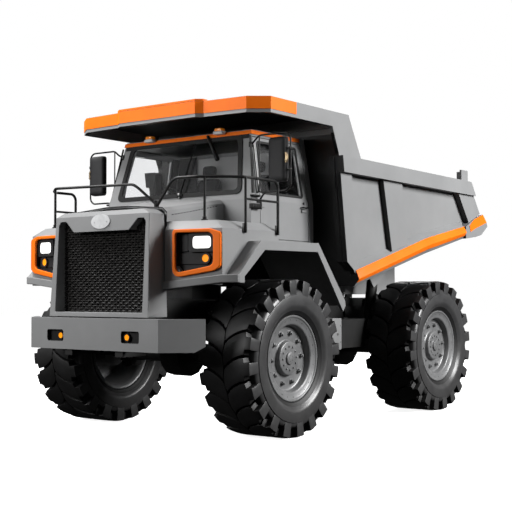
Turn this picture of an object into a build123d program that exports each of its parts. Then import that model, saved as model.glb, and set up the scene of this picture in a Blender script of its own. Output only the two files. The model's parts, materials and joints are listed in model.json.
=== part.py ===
"""Rigid dump truck, built as separate parts in one frame.

Axes: +X is the truck's left, -Y its front, +Z up. Millimetres. Z = 0 is the ground.
Y = 0 is the front axle while building; everything is shifted by y_shift on export so that
the origin is the bottom centre of the bounding box.
"""
import math
import os

from build123d import *

os.makedirs("parts", exist_ok=True)

# ---------------------------------------------------------------- driving dimensions
wheel_base = 4250
track_front = 3272
track_rear = 3300
tyre_tip_r = 1094
tyre_width = 880
tyre_base_r = 1000
tyre_shoulder_r = 880
tyre_wall_r = 780
tyre_bead_r = 640
lug_pairs = 20
rim_r = 558
rim_dish = 40
rim_web = 45
rim_hollow_r = 520
flange_t = 26
flange_rise = 34
hub_r = 235
spindle_r = 90
kingpin_x = 1120
kingpin_r = 45
steer_arm = 520
axle_tube_r = 130
diff_r = 330
rail_x = 480
rail_w = 160
rail_h = 400
rail_top = 1900
frame_rear_y = 5330
bumper_y = -1875
bumper_flat_half = 1207
bumper_end_half = 1630
bumper_end_y = -1430
bumper_low = 1226
bumper_high = 1655
bumper_t = 130
shell_low_half = 943
shell_high_half = 895
shell_low = 1670
shell_high = 3050
shell_crown = 65
shell_depth = 360
mesh_recess = 200
hood_half = 920
hood_rear_y = -165
hood_rise = 190
fender_in = 920
fender_out = 2030
arch_top = 2690
pod_out = 1820
pod_top = 2950
pod_bevel = 115
cab_half = 1400
cab_roof_half = 1235
cab_floor = 2725
cab_belt = 3320
cab_roof = 4300
cab_rear_y = 1400
cab_wall = 55
cab_front_y = -165
roof_front_y = 60
roof_rear_y = 1395
door_front_y = 60
door_rear_y = 1262
door_gap = 8
door_swing_gap = 16
hinge_x = 1418
hinge_r = 14
bed_half = 1840
bed_wall = 80
post_out = 90
rail_out = 160
bed_rail_h = 245
bed_floor_t = 110
bed_pivot_y = 5250
bed_pivot_z = 2040
bed_pin_r = 40
canopy_half = 1825
canopy_top = 4700
canopy_low = 4475
band_low = 4522
crown_top = 4730
hoist_x = 920
hoist_low_y = 3750
hoist_low_z = 1250
hoist_top_y = 4000
hoist_top_z = 2550
hoist_tube_r = 95
hoist_rod_r = 55
hoist_pin_r = 35
tube_r = 20
tank_in = 880
tank_out = 1190
tank_front_y = 2240
tank_rear_y = 3380
tank_panel = 270
tank_step = 20
tank_low = 1075
tank_high = 1580
tow_pin_r = 32
tow_t = 70
tow_rear_y = 5420
tow_rear_z = 1640
tow_front_y = -1760
tow_front_z = 1180
run_fit = 0.3
pin_gap = 5
rest_gap = 0.5

# ---------------------------------------------------------------- derived positions
axle_z = tyre_tip_r
front_tyre_x = track_front / 2
rear_tyre_x = track_rear / 2
canopy_nose_y = -598
bed_tail_y = 6317
nose_y = bumper_y
y_shift = -(nose_y + bed_tail_y) / 2
rail_low = rail_top - rail_h
rail_out_x = rail_x + rail_w / 2
rail_in_x = rail_x - rail_w / 2
to_row = Location((0, y_shift, 0))
exported = []


def store(part, label):
    """Move a finished sub-part to the row frame, name it and write its STEP file."""
    moved = part.moved(to_row)
    moved.label = label
    export_step(moved, "parts/" + label + ".step")
    exported.append(label)
    print(label, round(moved.volume / 1e9, 4), len(moved.solids()), moved.is_valid, flush=True)


def box_at(x0, x1, y0, y1, z0, z1):
    """Solid box between two opposite corners."""
    return Solid.make_box(x1 - x0, y1 - y0, z1 - z0, Plane(origin=(x0, y0, z0)))


def side_prism(points, x0, x1):
    """Prism with a side-view (y, z) outline, from x0 to x1."""
    face = Face(Wire.make_polygon([(x0, y, z) for y, z in points], close=True))
    return Solid.extrude(face, Vector(x1 - x0, 0, 0))


def plan_prism(points, z0, z1):
    """Prism with a plan-view (x, y) outline, from z0 to z1."""
    face = Face(Wire.make_polygon([(x, y, z0) for x, y in points], close=True))
    return Solid.extrude(face, Vector(0, 0, z1 - z0))


def front_prism(points, y0, y1):
    """Prism with a front-view (x, z) outline, from y0 to y1."""
    face = Face(Wire.make_polygon([(x, y0, z) for x, z in points], close=True))
    return Solid.extrude(face, Vector(0, y1 - y0, 0))


def rod_between(a, b, r):
    """Round bar between two points."""
    a = Vector(*a)
    b = Vector(*b)
    plane = Plane(origin=a, z_dir=b - a)
    return Solid.make_cylinder(r, (b - a).length, plane)


def polygon_on(plane, r, sides):
    """Regular polygon wire on a plane; r reaches its corners."""
    step = 2 * math.pi / sides
    corners = [plane.from_local_coords((r * math.cos((k + 0.5) * step), r * math.sin((k + 0.5) * step), 0))
               for k in range(sides)]
    return Wire.make_polygon(corners, close=True)


def bar_between(a, b, r, sides=12):
    """Bar of many flat sides between two points, for stock that nothing turns on."""
    a = Vector(*a)
    b = Vector(*b)
    plane = Plane(origin=a, z_dir=b - a)
    return Solid.extrude(Face(polygon_on(plane, r, sides)), b - a)


def tube_along(points, r, sides=8):
    """Bar of many flat sides through a list of points, mitred at each bend."""
    path = Wire.make_polygon(points, close=False)
    start = Plane(origin=points[0], z_dir=Vector(*points[1]) - Vector(*points[0]))
    return Solid.sweep(Face(polygon_on(start, r, sides)), path, transition=Transition.RIGHT)


def mirrored(part):
    """Copy of a part on the other side of the truck."""
    return part.mirror(Plane.YZ)


# ---------------------------------------------------------------- frame
cross_rows = [
    # centre y, length along y, low z, high z
    (-1320, 120, rail_low + 60, rail_low + 260),
    (640, 160, rail_top - 180, rail_top - 40),
    (2300, 160, rail_low + 20, rail_top - 60),
    (3500, 140, rail_low + 20, rail_top - 60),
    (5080, 160, rail_low + 40, rail_top - 60),
]
pad_rows = [2250, 3500, 4700]
with BuildPart() as frame:
    for side in (-1, 1):
        add(box_at(side * rail_x - rail_w / 2, side * rail_x + rail_w / 2, -1380, frame_rear_y,
                   rail_low, rail_top))
        add(box_at(side * rail_x - rail_w / 2, side * rail_x + rail_w / 2, bumper_y + bumper_t, -1380,
                   rail_low, shell_low - 5))
        for pad_y in pad_rows:
            add(box_at(side * rail_x - 60, side * rail_x + 60, pad_y - 120, pad_y + 120,
                       rail_top, 1960 - rest_gap))
        for ear in (-1, 1):
            ear_in = rail_w / 2 + pin_gap
            x_a = side * rail_x + ear * ear_in
            x_b = side * rail_x + ear * (ear_in + 35)
            add(side_prism([(5110, rail_top - 120), (frame_rear_y, rail_top - 120), (frame_rear_y, 2040),
                            (5290, 2110), (5210, 2110), (5110, 1960)], x_a, x_b))
        add(rod_between((side * rail_x - 125, bed_pivot_y, bed_pivot_z),
                        (side * rail_x + 125, bed_pivot_y, bed_pivot_z), bed_pin_r))
        for ear in (-1, 1):
            x_a = side * rail_x + ear * (rail_w / 2 - 10)
            x_b = side * rail_x + ear * (rail_w / 2 + pin_gap)
            add(box_at(min(x_a, x_b), max(x_a, x_b), 5110, frame_rear_y, rail_top - 120, rail_top - 20))
        add(box_at(min(side * 560, side * 800), max(side * 560, side * 800), -110, 110, 1760, 1880))
        add(box_at(min(side * 560, side * 800), max(side * 560, side * 800), wheel_base - 50,
                   wheel_base + 110, 1760, 1880))
        add(rod_between((side * 555, hoist_low_y, hoist_low_z),
                        (side * (hoist_x + 90), hoist_low_y, hoist_low_z), hoist_pin_r))
        add(bar_between((side * 555, hoist_low_y, hoist_low_z), (side * 640, hoist_low_y, hoist_low_z), 75))
        x_a = side * rail_out_x
        x_b = side * (rail_out_x + 40)
        add(side_prism([(hoist_low_y - 220, rail_top - 150), (hoist_low_y - 70, hoist_low_z - 90),
                        (hoist_low_y + 70, hoist_low_z - 90), (hoist_low_y + 220, rail_top - 150)], x_a, x_b))
        add(box_at(min(side * 560, side * 700), max(side * 560, side * 700), 300, 420, rail_top - 200,
                   rail_top - 40))
        add(box_at(min(side * 560, side * 700), max(side * 560, side * 700), 1230, 1350, rail_top - 200,
                   rail_top - 40))
        add(box_at(side * 640 - 60, side * 640 + 60, 300, 420, rail_top - 200, cab_floor))
        add(box_at(side * 640 - 60, side * 640 + 60, 1230, 1350, rail_top - 200, cab_floor))
    add(box_at(-rail_in_x - 5, rail_in_x + 5, frame_rear_y - 60, frame_rear_y, rail_low + 40, rail_top - 160))
    add(box_at(-130, 130, frame_rear_y - 10, tow_rear_y + 90, tow_rear_z - tow_t / 2, tow_rear_z + tow_t / 2))
    add(rod_between((0, tow_rear_y, tow_rear_z - tow_t), (0, tow_rear_y, tow_rear_z + tow_t), tow_pin_r),
        mode=Mode.SUBTRACT)
    for side in (-1, 1):
        add(box_at(side * rail_x - 70, side * rail_x + 70, tow_front_y - 80, -1380, tow_front_z - tow_t / 2,
                   tow_front_z + tow_t / 2))
        add(box_at(side * rail_x - 70, side * rail_x + 70, -1500, -1380, tow_front_z - 10, rail_low + 10))
        add(rod_between((side * rail_x, tow_front_y, tow_front_z - tow_t),
                        (side * rail_x, tow_front_y, tow_front_z + tow_t), tow_pin_r), mode=Mode.SUBTRACT)
    for mid_y, long_y, low_z, high_z in cross_rows:
        add(box_at(-rail_in_x - 5, rail_in_x + 5, mid_y - long_y / 2, mid_y + long_y / 2, low_z, high_z))
store(frame.part, "frame")

# ---------------------------------------------------------------- front bumper
slot_in = 550
slot_out = 875
slot_low = 1333
slot_high = 1493
slot_depth = 60
wing_end = 45
wing_cut_x = 100
wing_cut_z = 75
wing_slope = (bumper_end_y - bumper_y) / (bumper_end_half - bumper_flat_half)
wing_in = bumper_t * (math.hypot(1, wing_slope) - 1) / wing_slope
bumper_outline = [
    (-bumper_end_half, bumper_end_y), (-bumper_flat_half, bumper_y), (bumper_flat_half, bumper_y),
    (bumper_end_half, bumper_end_y), (bumper_end_half - wing_end, bumper_end_y + wing_end),
    (bumper_flat_half - wing_in, bumper_y + bumper_t), (-bumper_flat_half + wing_in, bumper_y + bumper_t),
    (-bumper_end_half + wing_end, bumper_end_y + wing_end),
]
with BuildPart() as front_bumper:
    add(plan_prism(bumper_outline, bumper_low, bumper_high))
    for side in (-1, 1):
        with BuildSketch(Plane.XZ.offset(-bumper_y + 10)):
            with Locations((side * (slot_in + slot_out) / 2, (slot_low + slot_high) / 2)):
                RectangleRounded(slot_out - slot_in, slot_high - slot_low, 30)
        extrude(amount=-slot_depth - 10, mode=Mode.SUBTRACT)
        corner = [(side * (bumper_end_half - wing_cut_x), bumper_low - 1), (side * (bumper_end_half + 1), bumper_low - 1),
                  (side * (bumper_end_half + 1), bumper_low + wing_cut_z)]
        add(front_prism(corner, bumper_y, 0), mode=Mode.SUBTRACT)
store(front_bumper.part, "front_bumper")

# ---------------------------------------------------------------- radiator shell, grille, badge plate
shell_back_y = -1400
shell_low_y = shell_back_y - shell_depth - 17
shell_high_y = shell_back_y - shell_depth + 60
mesh_y = -1730 + mesh_recess
opening = [
    (-828, shell_low + 62), (828, shell_low + 62), (828, 2940), (790, 2987), (690, 2987), (530, 2836),
    (-530, 2836), (-690, 2987), (-790, 2987), (-828, 2940),
]
with BuildPart() as radiator_shell:
    with BuildSketch(Plane.XY.offset(shell_low)):
        with Locations((0, (shell_low_y + shell_back_y) / 2)):
            Rectangle(2 * shell_low_half, shell_back_y - shell_low_y)
    with BuildSketch(Plane.XY.offset(shell_high)):
        with Locations((0, (shell_high_y + shell_back_y) / 2)):
            Rectangle(2 * shell_high_half, shell_back_y - shell_high_y)
    loft(ruled=True)
    with BuildSketch(Plane.XY.offset(shell_high)):
        with Locations((0, (shell_high_y + shell_back_y) / 2)):
            Rectangle(2 * shell_high_half, shell_back_y - shell_high_y)
    with BuildSketch(Plane.XY.offset(shell_high + shell_crown)):
        with Locations((0, (shell_high_y + shell_back_y) / 2 + 20)):
            Rectangle(2 * shell_high_half - 260, shell_back_y - shell_high_y - 40)
    loft(ruled=True)
    add(front_prism(opening, -1900, -1300), mode=Mode.SUBTRACT)
store(radiator_shell.part, "radiator_shell")

mesh_columns = 10
mesh_rows = 11
wire = 30
with BuildPart() as grille:
    add(front_prism(opening, mesh_y, mesh_y + 14))
    x_step = (2 * 828 - wire) / mesh_columns
    z_low = shell_low + 62 + wire
    z_step = (2836 - wire - z_low + wire) / mesh_rows
    with BuildSketch(Plane.XZ.offset(-mesh_y)):
        for col in range(mesh_columns):
            for row in range(mesh_rows):
                with Locations((-828 + wire / 2 + (col + 0.5) * x_step, z_low + (row + 0.5) * z_step - wire / 2)):
                    Rectangle(x_step - wire, z_step - wire)
    extrude(amount=20, both=True, mode=Mode.SUBTRACT)
store(grille.part, "grille")

with BuildPart() as radiator:
    add(box_at(-828, 828, mesh_y + 40, shell_back_y - 10, shell_low + 62, 2830))
store(radiator.part, "radiator")

badge_z = 2968
badge_slope = (shell_high_y - shell_low_y) / (shell_high - shell_low)
badge_y = shell_low_y + badge_slope * (badge_z - shell_low)
badge_plane = Plane(origin=(0, badge_y, badge_z), x_dir=(1, 0, 0), z_dir=(0, -1, badge_slope))
with BuildPart() as badge_plate:
    with BuildSketch(badge_plane):
        Ellipse(178, 100)
    extrude(amount=12)
    with BuildSketch(badge_plane.offset(12)):
        with Locations((-120, 0), (120, -0)):
            Circle(10)
    extrude(amount=5)
store(badge_plate.part, "badge_plate")

# ---------------------------------------------------------------- hood, engine, driveline
hood_low = 2200
hood_front = [(-hood_half, hood_low), (-hood_half, 3080), (-hood_half + 70, 3135), (-200, 3185), (200, 3185),
              (hood_half - 70, 3135), (hood_half, 3080), (hood_half, hood_low)]
hood_inner = [(-hood_half + 30, hood_low), (-hood_half + 30, 3066), (-hood_half + 80, 3104), (-200, 3155),
              (200, 3155), (hood_half - 80, 3104), (hood_half - 30, 3066), (hood_half - 30, hood_low)]
with BuildPart() as hood:
    with BuildSketch(Plane.XZ.offset(-shell_back_y)):
        Polygon(*hood_front, align=None)
    with BuildSketch(Plane.XZ.offset(-hood_rear_y)):
        Polygon(*[(x, z + (hood_rise if z > hood_low else 0)) for x, z in hood_front], align=None)
    loft(ruled=True)
    with BuildSketch(Plane.XZ.offset(-shell_back_y)):
        Polygon(*hood_inner, align=None)
    with BuildSketch(Plane.XZ.offset(-hood_rear_y)):
        Polygon(*[(x, z + (hood_rise if z > hood_low else 0)) for x, z in hood_inner], align=None)
    loft(ruled=True, mode=Mode.SUBTRACT)
store(hood.part, "hood")

with BuildPart() as engine:
    add(box_at(-380, 380, -1260, -230, 1640, 2880))
    add(box_at(-rail_in_x, rail_in_x, -1100, -1000, 1640, 1760))
store(engine.part, "engine")

with BuildPart() as driveline:
    add(box_at(-280, 280, -230, 560, 1560, 2200))
    add(bar_between((0, 500, 1640), (0, wheel_base - 400, 1190), 70))
store(driveline.part, "driveline")

# ---------------------------------------------------------------- front fenders with lamp pods
pod_front_in_y = -1460
pod_front_out_y = -1325
pod_rear_y = -80
lip_rows = [
    # x, front y, low z, high z
    (fender_in, -1475, 2031, 2137),
    (pod_out, -1335, 2122, 2229),
    (fender_out, -1235, 2127, 2236),
]
arch_outer = [(-1235, 2236), (-775, arch_top - 9), (594, arch_top + 6), (1289, 1878), (1303, 1800)]
arch_lip = [(1239, 1720), (576, arch_top - 120), (-682, arch_top - 127), (-1224, 2127)]
arch_skin = [(1268, 1800), (578, arch_top - 30), (-762, arch_top - 45), (-1200, 2222)]
pod_plan = [(fender_in, pod_front_in_y), (pod_out, pod_front_out_y), (pod_out, pod_rear_y), (fender_in, pod_rear_y)]
pod_hollow = [(fender_in - 10, pod_front_in_y + 70), (pod_out - 40, pod_front_out_y + 70),
              (pod_out - 40, pod_rear_y - 40), (fender_in - 10, pod_rear_y - 40)]
lamp_plane = Plane(origin=(fender_in, pod_front_in_y, 0),
                   x_dir=(pod_out - fender_in, pod_front_out_y - pod_front_in_y, 0),
                   z_dir=(pod_front_out_y - pod_front_in_y, fender_in - pod_out, 0))
stretch = math.hypot(pod_out - fender_in, pod_front_out_y - pod_front_in_y) / (pod_out - fender_in)
bezel_outer = [(1080, 2800), (1104, 2830), (1650, 2830), (1812, 2780), (1812, 2340), (1725, 2284),
               (1200, 2206), (1130, 2216), (1080, 2280)]
bezel_inner = [(1120, 2790), (1660, 2790), (1702, 2745), (1702, 2392), (1668, 2345), (1195, 2265), (1120, 2365)]
lens_rows = [
    # left x, right x, low z, high z
    (1345, 1659, 2560, 2745),
]


def on_lamp_plane(points):
    """Front-view (x, z) points on the swept lamp face, in its own axes."""
    return [((x - fender_in) * stretch, z) for x, z in points]


with BuildPart() as fender_left:
    add(side_prism(arch_outer + arch_skin, fender_in, fender_out))
    add(side_prism(arch_outer + arch_lip, fender_out - 45, fender_out))
    for row_a, row_b in ((lip_rows[0], lip_rows[1]), (lip_rows[1], lip_rows[2])):
        x_a, y_a, low_a, high_a = row_a
        x_b, y_b, low_b, high_b = row_b
        with BuildSketch(Plane.YZ.offset(x_a)):
            Polygon((y_a, low_a), (y_a + 110, low_a), (y_a + 110, high_a), (y_a, high_a), align=None)
        with BuildSketch(Plane.YZ.offset(x_b)):
            Polygon((y_b, low_b), (y_b + 110, low_b), (y_b + 110, high_b), (y_b, high_b), align=None)
        loft(ruled=True)
    add(plan_prism(pod_plan, 2100, pod_top - pod_bevel))
    with BuildSketch(Plane.XY.offset(pod_top - pod_bevel)):
        Polygon(*pod_plan, align=None)
    with BuildSketch(Plane.XY.offset(pod_top)):
        Polygon((fender_in, pod_front_in_y + 90), (pod_out - 170, pod_front_out_y + 100),
                (pod_out - 170, pod_rear_y - 90), (fender_in, pod_rear_y - 90), align=None)
    loft(ruled=True)
    add(plan_prism(pod_hollow, 2000, pod_top - pod_bevel - 40), mode=Mode.SUBTRACT)
    add(side_prism([(-1340, 2080), (-1200, 2222), (-762, arch_top - 45), (578, arch_top - 30), (578, 1500),
                    (-1340, 1500)], fender_in - 20, pod_out + 1), mode=Mode.SUBTRACT)
    add(side_prism(arch_outer + arch_skin, fender_in, fender_out))
    add(box_at(fender_in - 20, cab_half + 8, cab_front_y - 8, 1500, cab_floor - 8, 3200), mode=Mode.SUBTRACT)
    add(box_at(fender_in - 20, shell_low_half + 1, -1900, shell_back_y + 1, 1800, 3200), mode=Mode.SUBTRACT)
    with BuildSketch(lamp_plane):
        Polygon(*on_lamp_plane(bezel_inner), align=None)
    extrude(amount=90, both=True, mode=Mode.SUBTRACT)
    with BuildSketch(lamp_plane.offset(-80)):
        Polygon(*on_lamp_plane(bezel_outer), align=None)
    extrude(amount=-20)
    with BuildSketch(lamp_plane.offset(-80)):
        Polygon(*on_lamp_plane(bezel_outer), align=None)
        Polygon(*on_lamp_plane(bezel_inner), align=None, mode=Mode.SUBTRACT)
    extrude(amount=70)
store(fender_left.part, "fender_left")
store(mirrored(fender_left.part), "fender_right")

with BuildPart() as bezel_left:
    with BuildSketch(lamp_plane):
        Polygon(*on_lamp_plane(bezel_outer), align=None)
        Polygon(*on_lamp_plane(bezel_inner), align=None, mode=Mode.SUBTRACT)
    extrude(amount=14)
lamp_bezels = bezel_left.part + mirrored(bezel_left.part)
store(lamp_bezels, "lamp_bezels")

with BuildPart() as headlamp_left:
    with BuildSketch(lamp_plane.offset(-80)):
        for x_a, x_b, z_a, z_b in lens_rows:
            with Locations((((x_a + x_b) / 2 - fender_in) * stretch, (z_a + z_b) / 2)):
                RectangleRounded((x_b - x_a) * stretch, z_b - z_a, 26)
    extrude(amount=62)
headlamps = headlamp_left.part + mirrored(headlamp_left.part)
store(headlamps, "headlamps")

marker_x = 690
with BuildPart() as amber_left:
    with BuildSketch(lamp_plane.offset(-80)):
        with Locations(((1550 - fender_in) * stretch, 2447)):
            Circle(60)
    extrude(amount=50)
    with BuildSketch(Plane.XZ.offset(-bumper_y - slot_depth)):
        with Locations((632, 1410)):
            Circle(38)
    extrude(amount=35)
amber_lamps = amber_left.part + mirrored(amber_left.part)
store(amber_lamps, "amber_lamps")

# ---------------------------------------------------------------- cab


def cab_ring(inset, z):
    """Cab outline at height z with every wall moved in by inset."""
    up = max(0, (z - cab_belt) / (cab_roof - cab_belt))
    half = cab_half + up * (cab_roof_half - cab_half) - inset
    front = cab_front_y + up * (roof_front_y - cab_front_y) + inset
    rear = cab_rear_y + up * (roof_rear_y - cab_rear_y) - inset
    return Wire.make_polygon([(-half, front, z), (half, front, z), (half, rear, z), (-half, rear, z)], close=True)


def cab_solid(inset, low_z, high_z):
    """Cab volume with every wall moved in by inset, between two heights."""
    if low_z >= cab_belt:
        return Solid.make_loft([cab_ring(inset, low_z), cab_ring(inset, high_z)], ruled=True)
    upper = Solid.make_loft([cab_ring(inset, cab_belt), cab_ring(inset, high_z)], ruled=True)
    lower = Solid.make_loft([cab_ring(inset, low_z), cab_ring(inset, cab_belt)], ruled=True)
    return lower.fuse(upper).clean()


screen = [(-1150, 3445), (1150, 3445), (1025, 4205), (-1025, 4205)]
back_window = [(-820, 3460), (820, 3460), (790, 4180), (-790, 4180)]
door_window = [(door_front_y + 60, 3430), (door_rear_y - 150, 3430), (door_rear_y - 160, 4150), (door_front_y + 105, 4150)]
door_low = 2765
door_high = 4225
door_in_x = 1186
with BuildPart() as cab_shell:
    add(cab_solid(0, cab_floor, cab_roof + 40))
    add(cab_solid(cab_wall, cab_floor + cab_wall, cab_roof - cab_wall + 40), mode=Mode.SUBTRACT)
    add(front_prism(screen, -400, 400), mode=Mode.SUBTRACT)
    add(front_prism(back_window, 1250, 1700), mode=Mode.SUBTRACT)
    for side in (-1, 1):
        add(box_at(min(side * door_in_x, side * 1600), max(side * door_in_x, side * 1600), door_front_y - door_gap,
                   door_rear_y + door_swing_gap, door_low - door_gap, door_high + door_gap), mode=Mode.SUBTRACT)
store(cab_shell.part, "cab_shell")

with BuildPart() as cab_glass:
    add(cab_solid(22, cab_floor + cab_wall, cab_roof - 20))
    add(cab_solid(30, cab_floor + cab_wall - 10, cab_roof), mode=Mode.SUBTRACT)
    screen_cut = front_prism([(-1149.7, 3445.3), (1149.7, 3445.3), (1024.8, 4204.7), (-1024.8, 4204.7)], -400, 400)
    back_cut = front_prism([(-819.7, 3460.3), (819.7, 3460.3), (789.7, 4179.7), (-789.7, 4179.7)], 1250, 1700)
    add(screen_cut + back_cut, mode=Mode.INTERSECT)
store(cab_glass.part, "cab_glass")

with BuildPart() as door_left:
    add(cab_solid(0, cab_floor, cab_roof + 40))
    add(cab_solid(cab_wall, cab_floor - 10, cab_roof + 50), mode=Mode.SUBTRACT)
    add(box_at(door_in_x, 1600, door_front_y, door_rear_y, door_low, door_high), mode=Mode.INTERSECT)
    add(side_prism(door_window, 1000, 1600), mode=Mode.SUBTRACT)
    add(box_at(cab_half - 2, cab_half + 22, door_rear_y - 190, door_rear_y - 60, 3190, 3225))
    for hinge_z in (2860, 3200):
        add(rod_between((hinge_x, door_front_y, hinge_z), (hinge_x, door_front_y, hinge_z + 90), hinge_r))
        add(box_at(cab_half - 5, hinge_x, door_front_y + 4, door_front_y + 90, hinge_z + 10, hinge_z + 80))
store(door_left.part, "door_left")
store(mirrored(door_left.part), "door_right")

pane = [(door_front_y + 60.3, 3430.3), (door_rear_y - 150.3, 3430.3), (door_rear_y - 160.3, 4149.7),
        (door_front_y + 105.3, 4149.7)]
with BuildPart() as door_glass_left:
    add(cab_solid(22, cab_floor, cab_roof))
    add(cab_solid(30, cab_floor - 10, cab_roof + 10), mode=Mode.SUBTRACT)
    add(side_prism(pane, 1000, 1600), mode=Mode.INTERSECT)
store(door_glass_left.part, "door_glass_left")
store(mirrored(door_glass_left.part), "door_glass_right")

with BuildPart() as roof_trim:
    add(cab_solid(-16, 4268, 4326))
    add(cab_solid(0, 4200, cab_roof + 40), mode=Mode.SUBTRACT)
    add(box_at(-1600, 1600, 1240, 2000, 4000, 4400), mode=Mode.SUBTRACT)
store(roof_trim.part, "roof_trim")

# ---------------------------------------------------------------- cab interior
wheel_x = -450
wheel_centre = (wheel_x, 330, 3500)
wheel_plane = Plane(origin=wheel_centre, z_dir=(0, 0.45, 0.9))
with BuildPart() as dashboard:
    add(box_at(-1200, 1200, cab_front_y + cab_wall, 110, 3050, cab_belt))
    add(box_at(wheel_x - 160, wheel_x + 160, 60, 150, 3100, 3400))
    add(bar_between((wheel_x, 120, 3290), (wheel_x, 330, 3497), 28))
    with BuildSketch(Plane(origin=(wheel_x, 330, 3500), x_dir=(0, 0.9, -0.45), z_dir=(1, 0, 0))):
        with Locations((190, 0)):
            RegularPolygon(16, 6)
    revolve(axis=Axis((wheel_x, 330, 3500), (0, 0.45, 0.9)))
    with BuildSketch(wheel_plane):
        Circle(60)
        Rectangle(380, 34)
    extrude(amount=12, both=True)
    add(box_at(wheel_x - 140, wheel_x + 140, -60, 60, cab_floor + cab_wall, 3060))
store(dashboard.part, "dashboard")

with BuildPart() as seats:
    for seat_x in (-450, 520):
        add(box_at(seat_x - 180, seat_x + 180, 640, 1020, cab_floor + cab_wall, 3060))
        add(box_at(seat_x - 250, seat_x + 250, 560, 1080, 3060, 3200))
        add(side_prism([(1000, 3200), (1120, 3200), (1210, 3850), (1110, 3850)], seat_x - 240, seat_x + 240))
        add(side_prism([(1118, 3850), (1190, 3850), (1210, 4040), (1130, 4040)], seat_x - 130, seat_x + 130))
store(seats.part, "seats")

# ---------------------------------------------------------------- handrails and mirrors
rail_z = 3530
post_x = pod_out + tube_r + run_fit
left_rail = [(690, -1340, 3160), (960, -1340, rail_z - 40), (1040, -1335, rail_z), (1360, -1290, rail_z),
             (post_x - 100, -980, rail_z), (post_x, -860, rail_z), (post_x, -200, rail_z), (post_x, -130, rail_z - 70),
             (post_x, -130, 2790)]
right_rail = [(330, -960, 3240), (60, -1040, rail_z - 50), (-20, -1060, rail_z), (-1360, -1290, rail_z),
              (-post_x + 100, -980, rail_z), (-post_x, -860, rail_z), (-post_x, -500, rail_z), (-post_x, -440, rail_z - 60),
              (-post_x, -440, 2790)]
post_rows = [
    # top x, top y, foot x, foot y, foot z
    (1440, -1225, 1440, -1225, pod_top - 6),
    (post_x, -860, post_x, -860, 2790),
    (-1440, -1225, -1440, -1225, pod_top - 6),
    (-post_x, -860, -post_x, -860, 2790),
]
with BuildPart() as handrails:
    add(tube_along(left_rail, tube_r))
    add(tube_along(right_rail, tube_r))
    for top_x, top_y, foot_x, foot_y, foot_z in post_rows:
        add(bar_between((top_x, top_y, rail_z), (foot_x, foot_y, foot_z), tube_r * 0.9, 8))
    add(bar_between((post_x, -860, 3240), (post_x, -130, 3240), tube_r * 0.8, 8))
    add(bar_between((-post_x, -860, 3240), (-post_x, -440, 3240), tube_r * 0.8, 8))
store(handrails.part, "handrails")

mirror_y = 0
loop = [(1262, 32, 4110), (1340, mirror_y, 4150), (1420, mirror_y, 4222), (1900, mirror_y, 4222),
        (1965, mirror_y, 4160), (1965, mirror_y, 3475), (1900, mirror_y, 3412), (1520, mirror_y, 3412),
        (1430, mirror_y, 3300), (1395, 0, 3290)]
with BuildPart() as mirror_left:
    add(tube_along(loop, 13, 6))
    add(tube_along([(1425, mirror_y, 4222), (1425, mirror_y, 3412), (1530, mirror_y, 3412)], 13, 6))
    for stay_z in (3700, 4000):
        add(bar_between((1900, mirror_y, stay_z), (1965, mirror_y, stay_z), 10, 6))
    with BuildSketch(Plane.XZ.offset(-mirror_y + 30)):
        with Locations((1770, 3852)):
            RectangleRounded(300, 630, 40)
    extrude(amount=45, both=True)
mirrors = mirror_left.part + mirrored(mirror_left.part)
store(mirrors, "mirrors")

# ---------------------------------------------------------------- side tanks
with BuildPart() as side_tanks:
    for side in (-1, 1):
        add(box_at(min(side * tank_in, side * tank_out), max(side * tank_in, side * tank_out), tank_front_y,
                   tank_front_y + tank_panel, tank_low, tank_high))
        tank_side = tank_out - tank_step
        add(box_at(min(side * tank_in, side * tank_side), max(side * tank_in, side * tank_side), tank_front_y,
                   tank_rear_y, tank_low + tank_step, tank_high - tank_step))
        for bracket_y in (tank_front_y + 250, tank_rear_y - 250):
            add(box_at(min(side * rail_out_x, side * (tank_in + 5)), max(side * rail_out_x, side * (tank_in + 5)),
                       bracket_y - 60, bracket_y + 60, rail_low + 5, tank_high - 10))
store(side_tanks.part, "side_tanks")

# ---------------------------------------------------------------- axles
yoke_x = kingpin_x - 150
knuckle_half = 145
arm_t = 60
with BuildPart() as front_axle:
    add(bar_between((-yoke_x, 0, axle_z), (yoke_x, 0, axle_z), axle_tube_r, 16))
    with BuildSketch(Plane.YZ):
        with Locations((0, axle_z)):
            RegularPolygon(diff_r, 12)
    extrude(amount=170, both=True)
    for side in (-1, 1):
        add(box_at(side * yoke_x - 30, side * yoke_x + 30, -110, 110, axle_z - knuckle_half - arm_t - pin_gap,
                   axle_z + knuckle_half + arm_t + pin_gap))
        for up in (-1, 1):
            z_a = axle_z + up * (knuckle_half + pin_gap)
            z_b = axle_z + up * (knuckle_half + pin_gap + arm_t)
            x_a = side * yoke_x
            x_b = side * (kingpin_x + 60)
            add(box_at(min(x_a, x_b), max(x_a, x_b), -80, 80, min(z_a, z_b), max(z_a, z_b)))
            add(rod_between((side * kingpin_x, 0, min(z_a, z_b) - 20), (side * kingpin_x, 0, max(z_a, z_b) + 20),
                            kingpin_r + run_fit), mode=Mode.SUBTRACT)
        add(bar_between((side * 700, 0, axle_z + 60), (side * 700, 0, 1760), 80, 12))
        add(bar_between((side * 700, 0, axle_z + 60), (side * 700, 0, 1480), 105, 12))
store(front_axle.part, "front_axle")

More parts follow.
